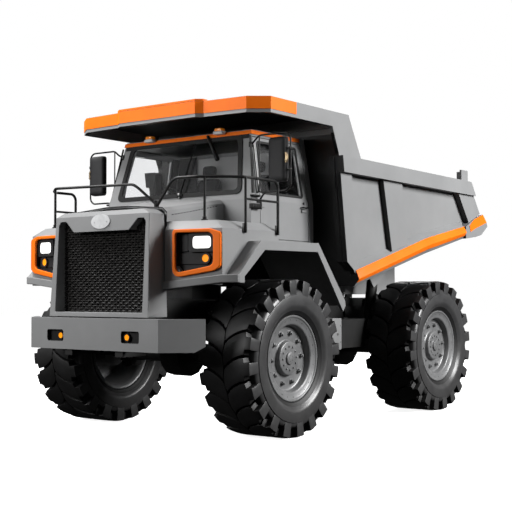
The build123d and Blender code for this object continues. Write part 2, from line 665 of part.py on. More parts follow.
with BuildPart() as rear_axle:
    rear_end = rear_tyre_x - tyre_width / 2 - 60
    add(bar_between((-rear_end, wheel_base, axle_z), (rear_end, wheel_base, axle_z), 165, 16))
    with BuildSketch(Plane.YZ):
        with Locations((wheel_base, axle_z)):
            RegularPolygon(400, 12)
    extrude(amount=200, both=True)
    for side in (-1, 1):
        add(rod_between((side * (rear_end - 10), wheel_base, axle_z),
                        (side * (rear_tyre_x + 250), wheel_base, axle_z), spindle_r))
        add(bar_between((side * 700, wheel_base, axle_z + 60), (side * 700, wheel_base, 1760), 80, 12))
        add(bar_between((side * 700, wheel_base, axle_z + 60), (side * 700, wheel_base, 1500), 105, 12))
        add(box_at(side * rail_x - 50, side * rail_x + 50, 3500, wheel_base, axle_z - 60, axle_z + 60))
        add(box_at(side * rail_x - 50, side * rail_x + 50, 3440, 3560, axle_z - 60, rail_low))
store(rear_axle.part, "rear_axle")

with BuildPart() as knuckle_left:
    add(box_at(kingpin_x - 60, kingpin_x + 80, -85, 85, axle_z - knuckle_half, axle_z + knuckle_half))
    add(rod_between((kingpin_x, 0, axle_z - knuckle_half - 90), (kingpin_x, 0, axle_z + knuckle_half + 90), kingpin_r))
    add(rod_between((kingpin_x + 70, 0, axle_z), (front_tyre_x + 250, 0, axle_z), spindle_r))
    add(box_at(kingpin_x - 35, kingpin_x + 35, -steer_arm - 45, -80, axle_z - 35, axle_z + 35))
    add(rod_between((kingpin_x, -steer_arm, axle_z + 30), (kingpin_x, -steer_arm, axle_z + 110), 22))
store(knuckle_left.part, "knuckle_left")
store(mirrored(knuckle_left.part), "knuckle_right")

tie_z = axle_z + 70
with BuildPart() as tie_rod:
    add(bar_between((-kingpin_x + 30, -steer_arm, tie_z), (kingpin_x - 30, -steer_arm, tie_z), 28))
    for side in (-1, 1):
        add(rod_between((side * kingpin_x, -steer_arm, axle_z + 35 + pin_gap),
                        (side * kingpin_x, -steer_arm, axle_z + 100), 50))
        add(rod_between((side * kingpin_x, -steer_arm, axle_z), (side * kingpin_x, -steer_arm, axle_z + 120),
                        22 + run_fit), mode=Mode.SUBTRACT)
store(tie_rod.part, "tie_rod")

# ---------------------------------------------------------------- tyres and rims
tyre_sides = 2 * lug_pairs
half_w = tyre_width / 2
pitch = 2 * math.pi / lug_pairs
lug_tip = pitch / 4
lug_root = lug_tip + math.radians(1.1)
lug_sweep = pitch
bead_x = half_w - 100
bore_poly_r = (rim_r + run_fit) / math.cos(math.pi / tyre_sides)
rim_sides = lug_pairs
tread_rows = [
    # distance from the centre plane, lug tip radius, groove radius, share of the lug's sweep
    (8, tyre_tip_r, tyre_base_r, 0.0),
    (385, tyre_tip_r, tyre_base_r - 20, 1.0),
    (half_w - 8, tyre_tip_r - 16, tyre_shoulder_r + 12, 1.0),
]
wall_rows = [
    # distance from the centre plane, radius
    (half_w, tyre_wall_r),
    (bead_x, tyre_bead_r),
    (bead_x, bore_poly_r),
]


def rim_ring(x_a, x_b, r):
    """Prism of many flat sides about the axle, r to its corners."""
    return bar_between((x_a, 0, 0), (x_b, 0, 0), r, rim_sides)


def gear_ring(side, x, tip_r, root_r, sweep):
    """Corners of the tread's outline at one distance from the centre plane, four to a lug."""
    turn = (0 if side > 0 else pitch / 2) + sweep * lug_sweep + lug_tip
    corners = []
    for k in range(lug_pairs):
        middle = turn + k * pitch
        for r, a in ((root_r, -lug_root), (tip_r, -lug_tip), (tip_r, lug_tip), (root_r, lug_root)):
            corners.append(Vector(side * x, -r * math.sin(middle + a), -r * math.cos(middle + a)))
    return corners


def wall_ring(side, x, r):
    """Corners of a sidewall polygon, two to a lug, in line with the tread's own corners."""
    turn = (0 if side > 0 else pitch / 2) + lug_sweep + lug_tip
    angles = [turn + (k - 1) * pitch / 2 for k in range(tyre_sides)]
    return [Vector(side * x, -r * math.sin(a), -r * math.cos(a)) for a in angles]


def triangle(a, b, c):
    """Flat three-sided face."""
    return Face(Wire.make_polygon([a, b, c], close=True))


def strip(ring_a, ring_b):
    """Triangles that join two rings whose corner counts are equal or two to one."""
    n_a = len(ring_a)
    n_b = len(ring_b)
    faces = []
    for k in range(n_a):
        j = (k + 1) % n_a
        if n_a == n_b:
            faces.append(triangle(ring_a[k], ring_a[j], ring_b[k]))
            faces.append(triangle(ring_a[j], ring_b[j], ring_b[k]))
        else:
            at_k = (k + 1) // 2 % n_b
            at_j = (j + 1) // 2 % n_b
            faces.append(triangle(ring_a[k], ring_a[j], ring_b[at_k]))
            if at_k != at_j:
                faces.append(triangle(ring_a[j], ring_b[at_j], ring_b[at_k]))
    return faces


def tyre_solid():
    """Closed tyre of flat facets: bore, beads, sidewalls, shoulders and chevron lugs."""
    faces = []
    gears = {}
    bores = {}
    for side in (1, -1):
        rings = [gear_ring(side, *row) for row in tread_rows] + [wall_ring(side, *row) for row in wall_rows]
        for ring_a, ring_b in zip(rings, rings[1:]):
            faces += strip(ring_a, ring_b)
        gears[side] = rings[0]
        bores[side] = rings[-1]
    faces += strip(gears[1], gears[-1])
    faces += strip(bores[1], bores[-1])
    return Solid(Shell(faces))


with BuildPart() as tyre:
    add(tyre_solid())

rim_rows = [
    # inner x, outer x, radius: barrel, two flanges
    (-bead_x - run_fit, bead_x + run_fit, rim_r),
    (-bead_x - flange_t, -bead_x - run_fit, rim_r + flange_rise),
    (bead_x + run_fit, bead_x + flange_t, rim_r + flange_rise),
]
with BuildPart() as rim:
    for x_a, x_b, r in rim_rows:
        add(rim_ring(x_a, x_b, r))
    add(rim_ring(-bead_x - flange_t - 1, rim_dish, rim_hollow_r), mode=Mode.SUBTRACT)
    add(rim_ring(rim_dish + rim_web, bead_x + flange_t + 1, rim_hollow_r), mode=Mode.SUBTRACT)
    add(bar_between((-240, 0, 0), (300, 0, 0), hub_r, rim_sides))
    add(bar_between((290, 0, 0), (330, 0, 0), 150, 12))
    add(rod_between((-300, 0, 0), (255, 0, 0), spindle_r + run_fit), mode=Mode.SUBTRACT)

wheel_rows = [
    # suffix, side, x, y
    ("front_left", 1, front_tyre_x, 0),
    ("front_right", -1, front_tyre_x, 0),
    ("rear_left", 1, rear_tyre_x, wheel_base),
    ("rear_right", -1, rear_tyre_x, wheel_base),
]
for suffix, side, wheel_at_x, wheel_at_y in wheel_rows:
    place = Location((wheel_at_x, wheel_at_y, axle_z))
    tyre_here = tyre.part.moved(place)
    rim_here = rim.part.moved(place)
    if side < 0:
        tyre_here = mirrored(tyre_here)
        rim_here = mirrored(rim_here)
    store(tyre_here, "tyre_" + suffix)
    store(rim_here, "rim_" + suffix)

# ---------------------------------------------------------------- dump bed
side_outline = [(1455, 4030), (5600, 3985), (6045, 3435), (6113, 3420), (6275, 3283), (bed_tail_y, 3213),
                (6052, 3042), (5812, 2997), (5013, 2902), (1777, 2091), (1724, 2321), (1655, 2500), (1455, 3800)]
inner_outline = [(1535, 4300), (1535, 3800), (1735, 2500), (1830, 2105 + 160), (5013, 2902 + bed_floor_t),
                 (5812, 2997 + bed_floor_t), (6052, 3042 + bed_floor_t), (6500, 3400), (6500, 4300)]
rail_outline = [(1300, 4030), (5600, 3985), (5640, 3960), (5800, 3742), (1335, 4030 - bed_rail_h)]
rear_post = [(5170, 3780), (5640, 3960), (6055, 3432), (5600, 3235), (5540, 3315)]
middle_post = [(2590, 3800), (3193, 3790), (3359, 2770), (2856, 2650)]
front_post = [(1335, 3800), (1650, 3790), (1810, 2320), (1750, 2265), (1700, 2337), (1640, 2377), (1520, 2455)]
ridge_end_y = 5420
tail_rail = [(ridge_end_y, 3166), (5433, 3169), (5733, 3311), (6113, 3420), (6275, 3283), (bed_tail_y, 3213), (6052, 3042),
             (5812, 2997), (ridge_end_y, 2953)]
tail_stripe = [(5560, 3190), (5733, 3311), (6113, 3420), (6275, 3283), (5760, 3140), (5600, 3080)]
ridge_rows = [
    # y, underside z, crease z, stripe top z, ledge top z
    (1745, 2092, 2200, 2326, 2420),
    (4007, 2650, 2791, 2904, 3000),
    (ridge_end_y, 2953, 3062, 3166, 3262),
]
ridge_in = bed_half - 1
ridge_mid = bed_half + 95
ridge_out = bed_half + 150
upright_rows = [
    # front y, rear y, inner x, outer x, top z
    (5345, 5600, 1900, 1935, 4185),
    (5345, 5385, 1840, 1935, 4150),
]
plate_plan = [(-canopy_half, 1745), (-canopy_half, -273), (-1561, -478), (-839, -527), (-739, canopy_nose_y),
              (739, canopy_nose_y), (839, -527), (1561, -478), (canopy_half, -273), (canopy_half, 1745)]
tray_plan = [(-canopy_half + 60, 1400), (-canopy_half + 60, -240), (-1530, -420), (-700, -470), (700, -470),
             (1530, -420), (canopy_half - 60, -240), (canopy_half - 60, 1400)]
head_wall = [(1455, canopy_low + 5), (1535, canopy_low + 5), (1535, 4000), (1455, 4000)]
wing_wall = [(1290, 4025), (1600, 4028), (1800, 2330), (1760, 2275), (1705, 2335), (1642, 2377), (1510, 2455)]
gusset = [(1282, canopy_low + 5), (1745, canopy_top - 20), (2131, 4000), (1494, 4000)]
beam = [(1900, 1960), (5350, 1960), (5350, 3010), (1900, 2150)]
with BuildPart() as bed:
    add(side_prism(side_outline, -bed_half, bed_half))
    add(side_prism(inner_outline, -bed_half + bed_wall, bed_half - bed_wall), mode=Mode.SUBTRACT)
    for side in (-1, 1):
        outer_rows = [
            (rail_outline, rail_out), (rear_post, post_out + 20), (middle_post, post_out), (front_post, post_out),
            (tail_rail, rail_out - 20),
        ]
        for outline, reach in outer_rows:
            add(side_prism(outline, side * (bed_half - 1), side * (bed_half + reach)))
        sections = [Wire.make_polygon([(side * ridge_in, y, low_z), (side * (ridge_mid - 25), y, low_z),
                                       (side * ridge_out, y, crease_z), (side * ridge_mid, y, top_z),
                                       (side * ridge_in, y, ledge_z)], close=True)
                    for y, low_z, crease_z, top_z, ledge_z in ridge_rows]
        for low_end, high_end in zip(sections, sections[1:]):
            add(Solid.make_loft([low_end, high_end], ruled=True))
        for front_y, rear_y, in_x, out_x, top_z in upright_rows:
            add(box_at(min(side * in_x, side * out_x), max(side * in_x, side * out_x), front_y, rear_y, 3950, top_z))
        add(side_prism(gusset, side * (canopy_half - 60), side * canopy_half))
        add(side_prism(wing_wall, side * (bed_half - bed_wall), side * (bed_half + 1)))
        add(side_prism(beam, side * rail_x - rail_w / 2, side * rail_x + rail_w / 2))
        add(rod_between((side * 300, bed_pivot_y, bed_pivot_z), (side * 700, bed_pivot_y, bed_pivot_z),
                        bed_pin_r + run_fit), mode=Mode.SUBTRACT)
        for plate in (-1, 1):
            x_a = side * hoist_x + plate * 65
            x_b = side * hoist_x + plate * 90
            add(side_prism([(3780, 2600), (4230, 2712), (4070, 2510), (4000, 2475), (3930, 2510)], x_a, x_b))
        for plate in (-1, 1):
            add(bar_between((side * hoist_x + plate * 85, hoist_top_y, hoist_top_z),
                            (side * hoist_x + plate * 110, hoist_top_y, hoist_top_z), hoist_pin_r + 15))
        add(side_prism([(3250, 2470), (4050, 2668), (3960, 2250), (3600, 2080)], side * 1120, side * 1150))
    add(plan_prism(plate_plan, canopy_low, canopy_top))
    add(plan_prism(tray_plan, canopy_low - 10, canopy_top - 60), mode=Mode.SUBTRACT)
    add(side_prism(head_wall, -canopy_half, canopy_half))
store(bed.part, "bed")

band_front = [(-canopy_half, 339), (-canopy_half, -273), (-1561, -478), (-839, -527), (-739, canopy_nose_y),
              (739, canopy_nose_y), (839, -527), (1561, -478), (canopy_half, -273), (canopy_half, 339)]
with BuildPart() as bed_stripes:
    grown = Plane.XY.offset(band_low)
    with BuildSketch(grown):
        with BuildLine():
            Polyline(*band_front, close=True)
        make_face()
        offset(amount=8, kind=Kind.INTERSECTION)
    extrude(amount=canopy_top - band_low - 4)
    add(plan_prism([(-canopy_half, 900)] + band_front[1:-1] + [(canopy_half, 900)], band_low - 10, canopy_top + 10),
        mode=Mode.SUBTRACT)
    add(box_at(-2000, 2000, 339, 900, band_low - 20, canopy_top + 20), mode=Mode.SUBTRACT)
    add(plan_prism([(-739, canopy_nose_y - 8), (739, canopy_nose_y - 8), (839, -535), (839, -440), (-839, -440),
                    (-839, -535)], canopy_top, crown_top))
    for side in (-1, 1):
        add(side_prism(tail_stripe, side * (bed_half + rail_out - 20), side * (bed_half + rail_out - 12)))
        sections = []
        for y, low_z, crease_z, top_z, ledge_z in ridge_rows:
            foot_x = ridge_out - 0.55 * (ridge_out - ridge_mid + 25)
            foot_z = crease_z - 0.55 * (crease_z - low_z)
            skin = [(ridge_mid, top_z), (ridge_out, crease_z), (foot_x, foot_z), (foot_x + 7, foot_z - 3),
                    (ridge_out + 8, crease_z), (ridge_mid + 6, top_z + 5)]
            sections.append(Wire.make_polygon([(side * x, y, z) for x, z in skin], close=True))
        for low_end, high_end in zip(sections, sections[1:]):
            add(Solid.make_loft([low_end, high_end], ruled=True))
store(bed_stripes.part, "bed_stripes")

# ---------------------------------------------------------------- hoist cylinders
hoist_run = math.hypot(hoist_top_y - hoist_low_y, hoist_top_z - hoist_low_z)
hoist_dir = ((hoist_top_y - hoist_low_y) / hoist_run, (hoist_top_z - hoist_low_z) / hoist_run)


def along_hoist(side, distance):
    """Point on the hoist's centre line, measured from its lower pin."""
    return (side * hoist_x, hoist_low_y + hoist_dir[0] * distance, hoist_low_z + hoist_dir[1] * distance)


tube_end = hoist_run - 130
for side, hand in ((1, "left"), (-1, "right")):
    centre_x = side * hoist_x
    with BuildPart() as hoist_barrel:
        add(rod_between((centre_x - 55, hoist_low_y, hoist_low_z), (centre_x + 55, hoist_low_y, hoist_low_z), 75))
        add(rod_between(along_hoist(side, 60), along_hoist(side, tube_end), hoist_tube_r))
        add(rod_between(along_hoist(side, 120), along_hoist(side, tube_end + 10), hoist_rod_r + run_fit),
            mode=Mode.SUBTRACT)
        add(rod_between((centre_x - 80, hoist_low_y, hoist_low_z), (centre_x + 80, hoist_low_y, hoist_low_z),
                        hoist_pin_r + run_fit), mode=Mode.SUBTRACT)
    store(hoist_barrel.part, "hoist_barrel_" + hand)
    with BuildPart() as hoist_rod:
        add(rod_between((centre_x - 55, hoist_top_y, hoist_top_z), (centre_x + 55, hoist_top_y, hoist_top_z), 70))
        add(rod_between(along_hoist(side, 140), along_hoist(side, hoist_run - 50), hoist_rod_r))
    store(hoist_rod.part, "hoist_rod_" + hand)

print("y_shift", y_shift, "sub-parts", len(exported))
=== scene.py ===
"""Looks of the rigid dump truck: materials, fine parts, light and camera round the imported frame.

Places are written in building metres: x to the truck's left, y back from the front axle, z up.
at() and flip() turn them into the row frame. A build function fills a bmesh; add_piece() makes it a piece.
"""
import json
import math

import bmesh
import bpy
from mathutils import Matrix, Vector


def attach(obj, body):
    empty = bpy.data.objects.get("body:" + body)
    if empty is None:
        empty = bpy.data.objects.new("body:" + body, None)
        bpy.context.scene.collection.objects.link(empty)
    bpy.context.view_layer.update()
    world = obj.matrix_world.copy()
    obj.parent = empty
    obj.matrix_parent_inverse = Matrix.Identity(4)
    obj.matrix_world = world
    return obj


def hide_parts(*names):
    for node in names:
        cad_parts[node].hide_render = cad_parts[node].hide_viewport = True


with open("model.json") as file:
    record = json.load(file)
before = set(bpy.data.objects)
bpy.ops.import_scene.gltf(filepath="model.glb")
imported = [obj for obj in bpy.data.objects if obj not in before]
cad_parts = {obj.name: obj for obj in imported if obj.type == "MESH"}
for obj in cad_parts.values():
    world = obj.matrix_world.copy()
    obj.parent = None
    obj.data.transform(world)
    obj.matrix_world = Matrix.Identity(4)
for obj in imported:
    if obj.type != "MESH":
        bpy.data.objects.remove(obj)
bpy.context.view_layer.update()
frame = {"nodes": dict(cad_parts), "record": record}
NODES = frame["nodes"]
scene = bpy.context.scene
SIDES = ((1, "left"), (-1, "right"))
Y_SHIFT = -2.221
WHEEL_BASE = 4.25
AXLE_Z = 1.094
FRONT_X = 1.636
REAR_X = 1.65


def at(x, y, z):
    """Building place to row-frame place."""
    return Vector((x, y + Y_SHIFT, z))


def flip(side, x, y, z):
    """The same, mirrored for the right side."""
    return at(side * x, y, z)


# ---- materials
# colour of the painted shade on faces that look down, and on forward faces below a height
PAINTED_SHADE_COLOUR = (0.005, 0.005, 0.005)
DOWNWARD = (-0.72, -0.80)
FORWARD = (-0.50, -0.60)
DUST = (0.32, 0.30, 0.27)
DUST_FOOT = 0.1
SPECKS = (9.0, 8.0, 0.7)
COAT_ROUGH = 0.18
PATCH_DETAIL = (6.0, 0.6)
PATCH_SPREAD = (0.3, 0.7)
GRAIN_DETAIL = (4.0, 0.55)


def set_inputs(node, **values):
    """Set a node's inputs, named with underscores for blanks."""
    for key, value in values.items():
        node.inputs[key.replace("_", " ")].default_value = value


def node_of(tree, kind, **inputs):
    """New shader node with some of its inputs set."""
    node = tree.nodes.new(kind)
    set_inputs(node, **inputs)
    return node


def ramp(tree, value, start, end, low=0.0, high=1.0):
    """Value mapped from start..end to low..high."""
    node = node_of(tree, "ShaderNodeMapRange", From_Min=start, From_Max=end, To_Min=low, To_Max=high)
    tree.links.new(value, node.inputs["Value"])
    return node.outputs["Result"]


def combine(tree, operation, a, b):
    """A value joined with a second value, or with a number, by one math operation."""
    node = tree.nodes.new("ShaderNodeMath")
    node.operation = operation
    tree.links.new(a, node.inputs[0])
    if isinstance(b, float):
        node.inputs[1].default_value = b
    else:
        tree.links.new(b, node.inputs[1])
    return node.outputs["Value"]


def mixed(tree, factor, a, b):
    """Colour a turned into colour b by a factor; a may be a socket."""
    node = tree.nodes.new("ShaderNodeMix")
    node.data_type = "RGBA"
    tree.links.new(factor, node.inputs["Factor"])
    if isinstance(a, bpy.types.NodeSocket):
        tree.links.new(a, node.inputs["A"])
    else:
        node.inputs["A"].default_value = (*a, 1)
    node.inputs["B"].default_value = (*b, 1)
    return node.outputs["Result"]


def along_axis(tree, vector, axis):
    """One coordinate of a vector."""
    parts = tree.nodes.new("ShaderNodeSeparateXYZ")
    tree.links.new(vector, parts.inputs["Vector"])
    return parts.outputs[axis]


def noise(tree, place, scale, detail, rough):
    """Noise over an object's own coordinates."""
    node = node_of(tree, "ShaderNodeTexNoise", Scale=scale, Detail=detail, Roughness=rough)
    tree.links.new(place.outputs["Object"], node.inputs["Vector"])
    return node.outputs["Fac"]


def dusted(tree, place, colour, dust, dust_top):
    """Pale dust over a colour, in specks that thin out up to dust_top."""
    fall = ramp(tree, along_axis(tree, place.outputs["Object"], "Z"), dust_top, DUST_FOOT)
    specks = combine(tree, "MULTIPLY", fall, noise(tree, place, *SPECKS))
    return mixed(tree, combine(tree, "MULTIPLY", specks, dust), colour, DUST)


def painted_shade(tree, place, colour, front_top):
    """Painted shade: dark colour on faces that look down, and on faces that look forward below front_top."""
    cover = ramp(tree, along_axis(tree, place.outputs["Normal"], "Z"), *DOWNWARD)
    if front_top:
        forward = ramp(tree, along_axis(tree, place.outputs["Normal"], "Y"), *FORWARD)
        low_down = ramp(tree, along_axis(tree, place.outputs["Object"], "Z"), front_top + 0.01, front_top)
        cover = combine(tree, "MAXIMUM", cover, combine(tree, "MULTIPLY", forward, low_down))
    return mixed(tree, cover, colour, PAINTED_SHADE_COLOUR)


def shader_of(mat):
    """A material's main shader."""
    return mat.node_tree.nodes["Principled BSDF"]


def surface(name, low, high, rough, patch, grain, bump, depth=0.002, metal=0.0, coat=0.0, rough_span=0.12,
            dust=0.0, dust_top=1.2, under=False, front_top=0.0, specular=0.5):
    """Procedural surface: patchy colour, uneven roughness, fine grain and dust that thins upward.

    under gives faces that look down painted shade in a dark colour; front_top gives faces that look forward
    the same painted shade, up to that height.
    """
    mat = bpy.data.materials.new(name)
    mat.use_nodes = True
    tree = mat.node_tree
    shader = shader_of(mat)
    set_inputs(shader, Metallic=metal, Coat_Weight=coat, Coat_Roughness=COAT_ROUGH,
               Specular_IOR_Level=specular)
    place = tree.nodes.new("ShaderNodeTexCoord")
    patches = noise(tree, place, patch, *PATCH_DETAIL)
    colour = mixed(tree, ramp(tree, patches, *PATCH_SPREAD), low, high)
    if dust > 0:
        colour = dusted(tree, place, colour, dust, dust_top)
    # painted shade: dark on faces that look down, and on forward faces below front_top
    if under:
        colour = painted_shade(tree, place, colour, front_top)
    least = max(0.02, rough - rough_span / 2)
    most = min(1.0, rough + rough_span / 2)
    relief = node_of(tree, "ShaderNodeBump", Strength=bump, Distance=depth)
    tree.links.new(noise(tree, place, grain, *GRAIN_DETAIL), relief.inputs["Height"])
    tree.links.new(colour, shader.inputs["Base Color"])
    tree.links.new(ramp(tree, patches, 0.0, 1.0, least, most), shader.inputs["Roughness"])
    tree.links.new(relief.outputs["Normal"], shader.inputs["Normal"])
    return mat


def lit(name, colour, strength):
    """Lamp lens with a faint ribbed relief."""
    mat = surface(name, colour, colour, 0.15, 4, 180, 0.2, coat=0.6)
    set_inputs(shader_of(mat), Emission_Color=(*colour, 1), Emission_Strength=strength)
    return mat


def clear_glass(name, tint):
    """Tinted clear pane with slight unevenness."""
    paler = [min(1.0, c * 1.04) for c in tint]
    mat = surface(name, tint, paler, 0.03, 0.8, 3, 0.02, depth=0.001, rough_span=0.02)
    set_inputs(shader_of(mat), Transmission_Weight=1.0, IOR=1.3)
    return mat


SURFACES = {
    # name: low colour, high colour, roughness, scale of patches, scale of grain, bump, and what else it has
    # grey_paint and bed_paint take painted shade on faces that look down; bed_paint also on forward faces
    # below 4.38 m
    "grey_paint": ((0.205, 0.207, 0.209), (0.240, 0.242, 0.244), 0.44, 1.1, 90, 0.06,
        dict(dust=0.10, dust_top=1.6, under=True, specular=0.2)),
    "bed_paint": ((0.200, 0.202, 0.204), (0.235, 0.237, 0.239), 0.44, 0.9, 70, 0.08,
        dict(coat=0.06, dust=0.06, dust_top=3.0, under=True, front_top=4.38, specular=0.35)),
    "orange_paint": ((0.84, 0.150, 0.005), (0.93, 0.185, 0.008), 0.46, 1.5, 90, 0.05, dict(specular=0.12)),
    "black_paint": ((0.003, 0.003, 0.003), (0.006, 0.006, 0.006), 0.42, 3, 120, 0.08, dict(specular=0.22)),
    "chassis_paint": ((0.005, 0.005, 0.005), (0.011, 0.011, 0.011), 0.55, 2.5, 60, 0.25,
        dict(dust=0.07, dust_top=1.6, specular=0.3)),
    # mesh_black's lighter patches are painted highlights on the wires
    "mesh_black": ((0.0015, 0.0015, 0.0015), (0.046, 0.044, 0.042), 0.42, 26, 200, 0.1,
        dict(specular=0.22)),
    "radiator_core": ((0.001, 0.001, 0.001), (0.004, 0.004, 0.004), 0.9, 6, 160, 0.6,
        dict(depth=0.004, specular=0.05)),
    "engine_iron": ((0.02, 0.02, 0.021), (0.04, 0.039, 0.038), 0.65, 5, 110, 0.5,
        dict(metal=0.4, depth=0.003)),
    "badge_silver": ((0.46, 0.465, 0.47), (0.60, 0.605, 0.61), 0.40, 9, 220, 0.08, dict(specular=0.25)),
    "bolt_steel": ((0.10, 0.10, 0.10), (0.20, 0.20, 0.195), 0.40, 14, 150, 0.15, dict(metal=0.7)),
    "chrome_rod": ((0.55, 0.55, 0.56), (0.64, 0.64, 0.65), 0.14, 3, 300, 0.03,
        dict(metal=1.0, rough_span=0.05)),
    "mirror_bracket": ((0.16, 0.115, 0.065), (0.30, 0.23, 0.14), 0.42, 12, 160, 0.1, dict(metal=0.8)),
    "seat_fabric": ((0.018, 0.018, 0.020), (0.034, 0.034, 0.037), 0.9, 8, 420, 0.5, dict(specular=0.2)),
    "dash_plastic": ((0.008, 0.008, 0.009), (0.014, 0.014, 0.015), 0.62, 4, 260, 0.3, dict(specular=0.3)),
    "rubber_trim": ((0.003, 0.003, 0.003), (0.006, 0.006, 0.006), 0.55, 6, 180, 0.12, dict(specular=0.2)),
    "tread_rubber": ((0.0035, 0.0035, 0.0035), (0.008, 0.008, 0.009), 0.52, 5, 55, 0.18,
        dict(depth=0.003, dust=0.03, dust_top=2.4, specular=0.35)),
    "tyre": ((0.034, 0.034, 0.035), (0.048, 0.048, 0.049), 0.34, 5, 70, 0.1,
        dict(dust=0.05, dust_top=2.2, specular=0.45)),
    "rim_paint": ((0.135, 0.136, 0.138), (0.185, 0.186, 0.188), 0.38, 7, 80, 0.12, dict(metal=0.15)),
    "window_shade": ((0.42, 0.42, 0.42), (0.48, 0.48, 0.48), 0.8, 2, 300, 0.2, {}),
}
LAMPS = {
    # name: colour, strength of its glow
    "lamp_white": ((0.95, 0.95, 0.93), 1.3),
    "lamp_amber": ((1.0, 0.33, 0.008), 0.55),
    "marker_amber": ((1.0, 0.30, 0.01), 0.10),
}
PANES = {"glass": (0.95, 0.955, 0.96), "side_glass": (0.88, 0.885, 0.89)}
FINISH = {name: surface(name, *row[:-1], **row[-1]) for name, row in SURFACES.items()}
FINISH.update({name: lit(name, *row) for name, row in LAMPS.items()})
FINISH.update({name: clear_glass(name, tint) for name, tint in PANES.items()})
ROUNDED = {
    # edge rounding in metres: CAD nodes
    0.034: ("radiator_shell",),
    0.03: ("side_tanks",),
    0.026: ("front_bumper",),
    0.022: ("hood",),
    0.02: ("engine",),
    0.016: ("fender_left", "fender_right"),
    0.012: ("cab_shell", "bed", "front_axle", "rear_axle", "dashboard", "knuckle_left", "knuckle_right"),
    0.01: ("driveline",),
    0.008: ("frame",),
    0.006: ("door_left", "door_right", "roof_trim", "headlamps", "tie_rod"),
    0.003: ("bed_stripes", "badge_plate"),
}
WELD_GAP = 0.00005
SIDE_PANES = ("door_glass_left", "door_glass_right")
BLACK_TRIM = ("black_paint", "rubber_trim")


def soft_edges(obj, width, segments=3, angle=35):
    """Round a piece's hard edges."""
    soft = obj.modifiers.new("edge", "BEVEL")
    soft.width = width
    soft.segments = segments
    soft.limit_method = "ANGLE"
    soft.angle_limit = math.radians(angle)
    soft.harden_normals = True


slot_of = {row["node"]: row["material_slot"] for row in frame["record"]["subparts"]}
for name, node in NODES.items():
    finish = FINISH["side_glass" if name in SIDE_PANES else slot_of[name]]
    if not node.material_slots:
        node.data.materials.append(finish)
    for material_slot in node.material_slots:
        material_slot.material = finish
for width, names in ROUNDED.items():
    for name in names:
        NODES[name].modifiers.new("join", "WELD").merge_threshold = WELD_GAP
        soft_edges(NODES[name], width)


# ---- building helpers
def recalc(bm):
    """Outward normals all round."""
    bmesh.ops.recalc_face_normals(bm, faces=bm.faces)


def mesh_from(build, name, *values):
    """Mesh made by a function that fills a bmesh."""
    bm = bmesh.new()
    build(bm, *values)
    recalc(bm)
    mesh = bpy.data.meshes.new(name)
    bm.to_mesh(mesh)
    bm.free()
    return mesh


def smooth_up_to(mesh, angle):
    """Smooth shading, with edges above an angle kept sharp."""
    mesh.shade_smooth()
    mesh.set_sharp_from_angle(angle=math.radians(angle))


def linked(name, data):
    """New object in the scene."""
    obj = bpy.data.objects.new(name, data)
    scene.collection.objects.link(obj)
    return obj


def place_mesh(name, mesh, body):
    """Mesh as a piece that rides on a body."""
    obj = linked(name, mesh)
    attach(obj, body)
    return obj


def new_piece(name, mesh, slot, finish=None, shade_angle=32, soft=None, body="chassis"):
    """Piece with a slot's finish or another; soft gives the rounding of its edges."""
    mesh.materials.append(FINISH[finish or slot])
    if shade_angle:
        smooth_up_to(mesh, shade_angle)
    obj = place_mesh(name, mesh, body)
    if soft:
        soft_edges(obj, *soft)
    return obj


def add_piece(name, build, values, *looks, **more):
    """Piece made by a build function from its values."""
    return new_piece(name, mesh_from(build, name, *values), *looks, **more)


def angles(count, shift=0.0):
    """Even angles round a circle, shifted by a share of their step."""
    return [2 * math.pi * (k + shift) / count for k in range(count)]


def circle(x, z, r, sides, shift=0.0):
    """Flat ring of places."""
    return [(x + r * math.cos(t), z + r * math.sin(t)) for t in angles(sides, shift)]


def oblong(x0, x1, z0, z1):
    """Four corners in turn."""
    return [(x0, z0), (x1, z0), (x1, z1), (x0, z1)]


def skin(bm, rings):
    """Faces between each ring of vertices and the next."""
    for low, high in zip(rings, rings[1:]):
        for k in range(len(low)):
            j = (k + 1) % len(low)
            bm.faces.new((low[k], low[j], high[j], high[k]))


def cap(bm, rings):
    """Faces over the first ring and the last."""
    bm.faces.new(list(reversed(rings[0])))
    bm.faces.new(rings[-1])


def add_box(bm, low, high, round_by=0.0, segments=2):
    """Closed box with rounded edges between two corners."""
    verts = bmesh.ops.create_cube(bm, size=1.0)["verts"]
    bmesh.ops.scale(bm, vec=[abs(c) for c in high - low], verts=verts)
    bmesh.ops.translate(bm, vec=(low + high) / 2, verts=verts)
    if round_by:
        edges = list({e for v in verts for e in v.link_edges})
        bmesh.ops.bevel(bm, geom=edges, offset=round_by, segments=segments, affect="EDGES", profile=0.5)


def add_rod(bm, a, b, r, sides=16, round_by=0.0, r_end=None):
    """Closed bar from a to b, with rounded ends if asked."""
    a = Vector(a)
    b = Vector(b)
    axis = b - a
    made = bmesh.ops.create_cone(bm, cap_ends=True, segments=sides, radius1=r, radius2=r_end or r,
                                 depth=axis.length)
    verts = made["verts"]
    turn = Vector((0, 0, 1)).rotation_difference(axis).to_matrix().to_4x4()
    bmesh.ops.transform(bm, matrix=Matrix.Translation((a + b) / 2) @ turn, verts=verts)
    if round_by:
        rims = list({e for v in verts for e in v.link_edges
                     if len(e.link_faces) == 2 and any(len(f.verts) > 4 for f in e.link_faces)})
        bmesh.ops.bevel(bm, geom=rims, offset=round_by, segments=2, affect="EDGES", profile=0.5)


def add_lathe(bm, rows, sides):
    """Surface of revolution round X through (x, radius) rows."""
    skin(bm, [[bm.verts.new((x, y, z)) for y, z in circle(0.0, 0.0, r, sides)] for x, r in rows])


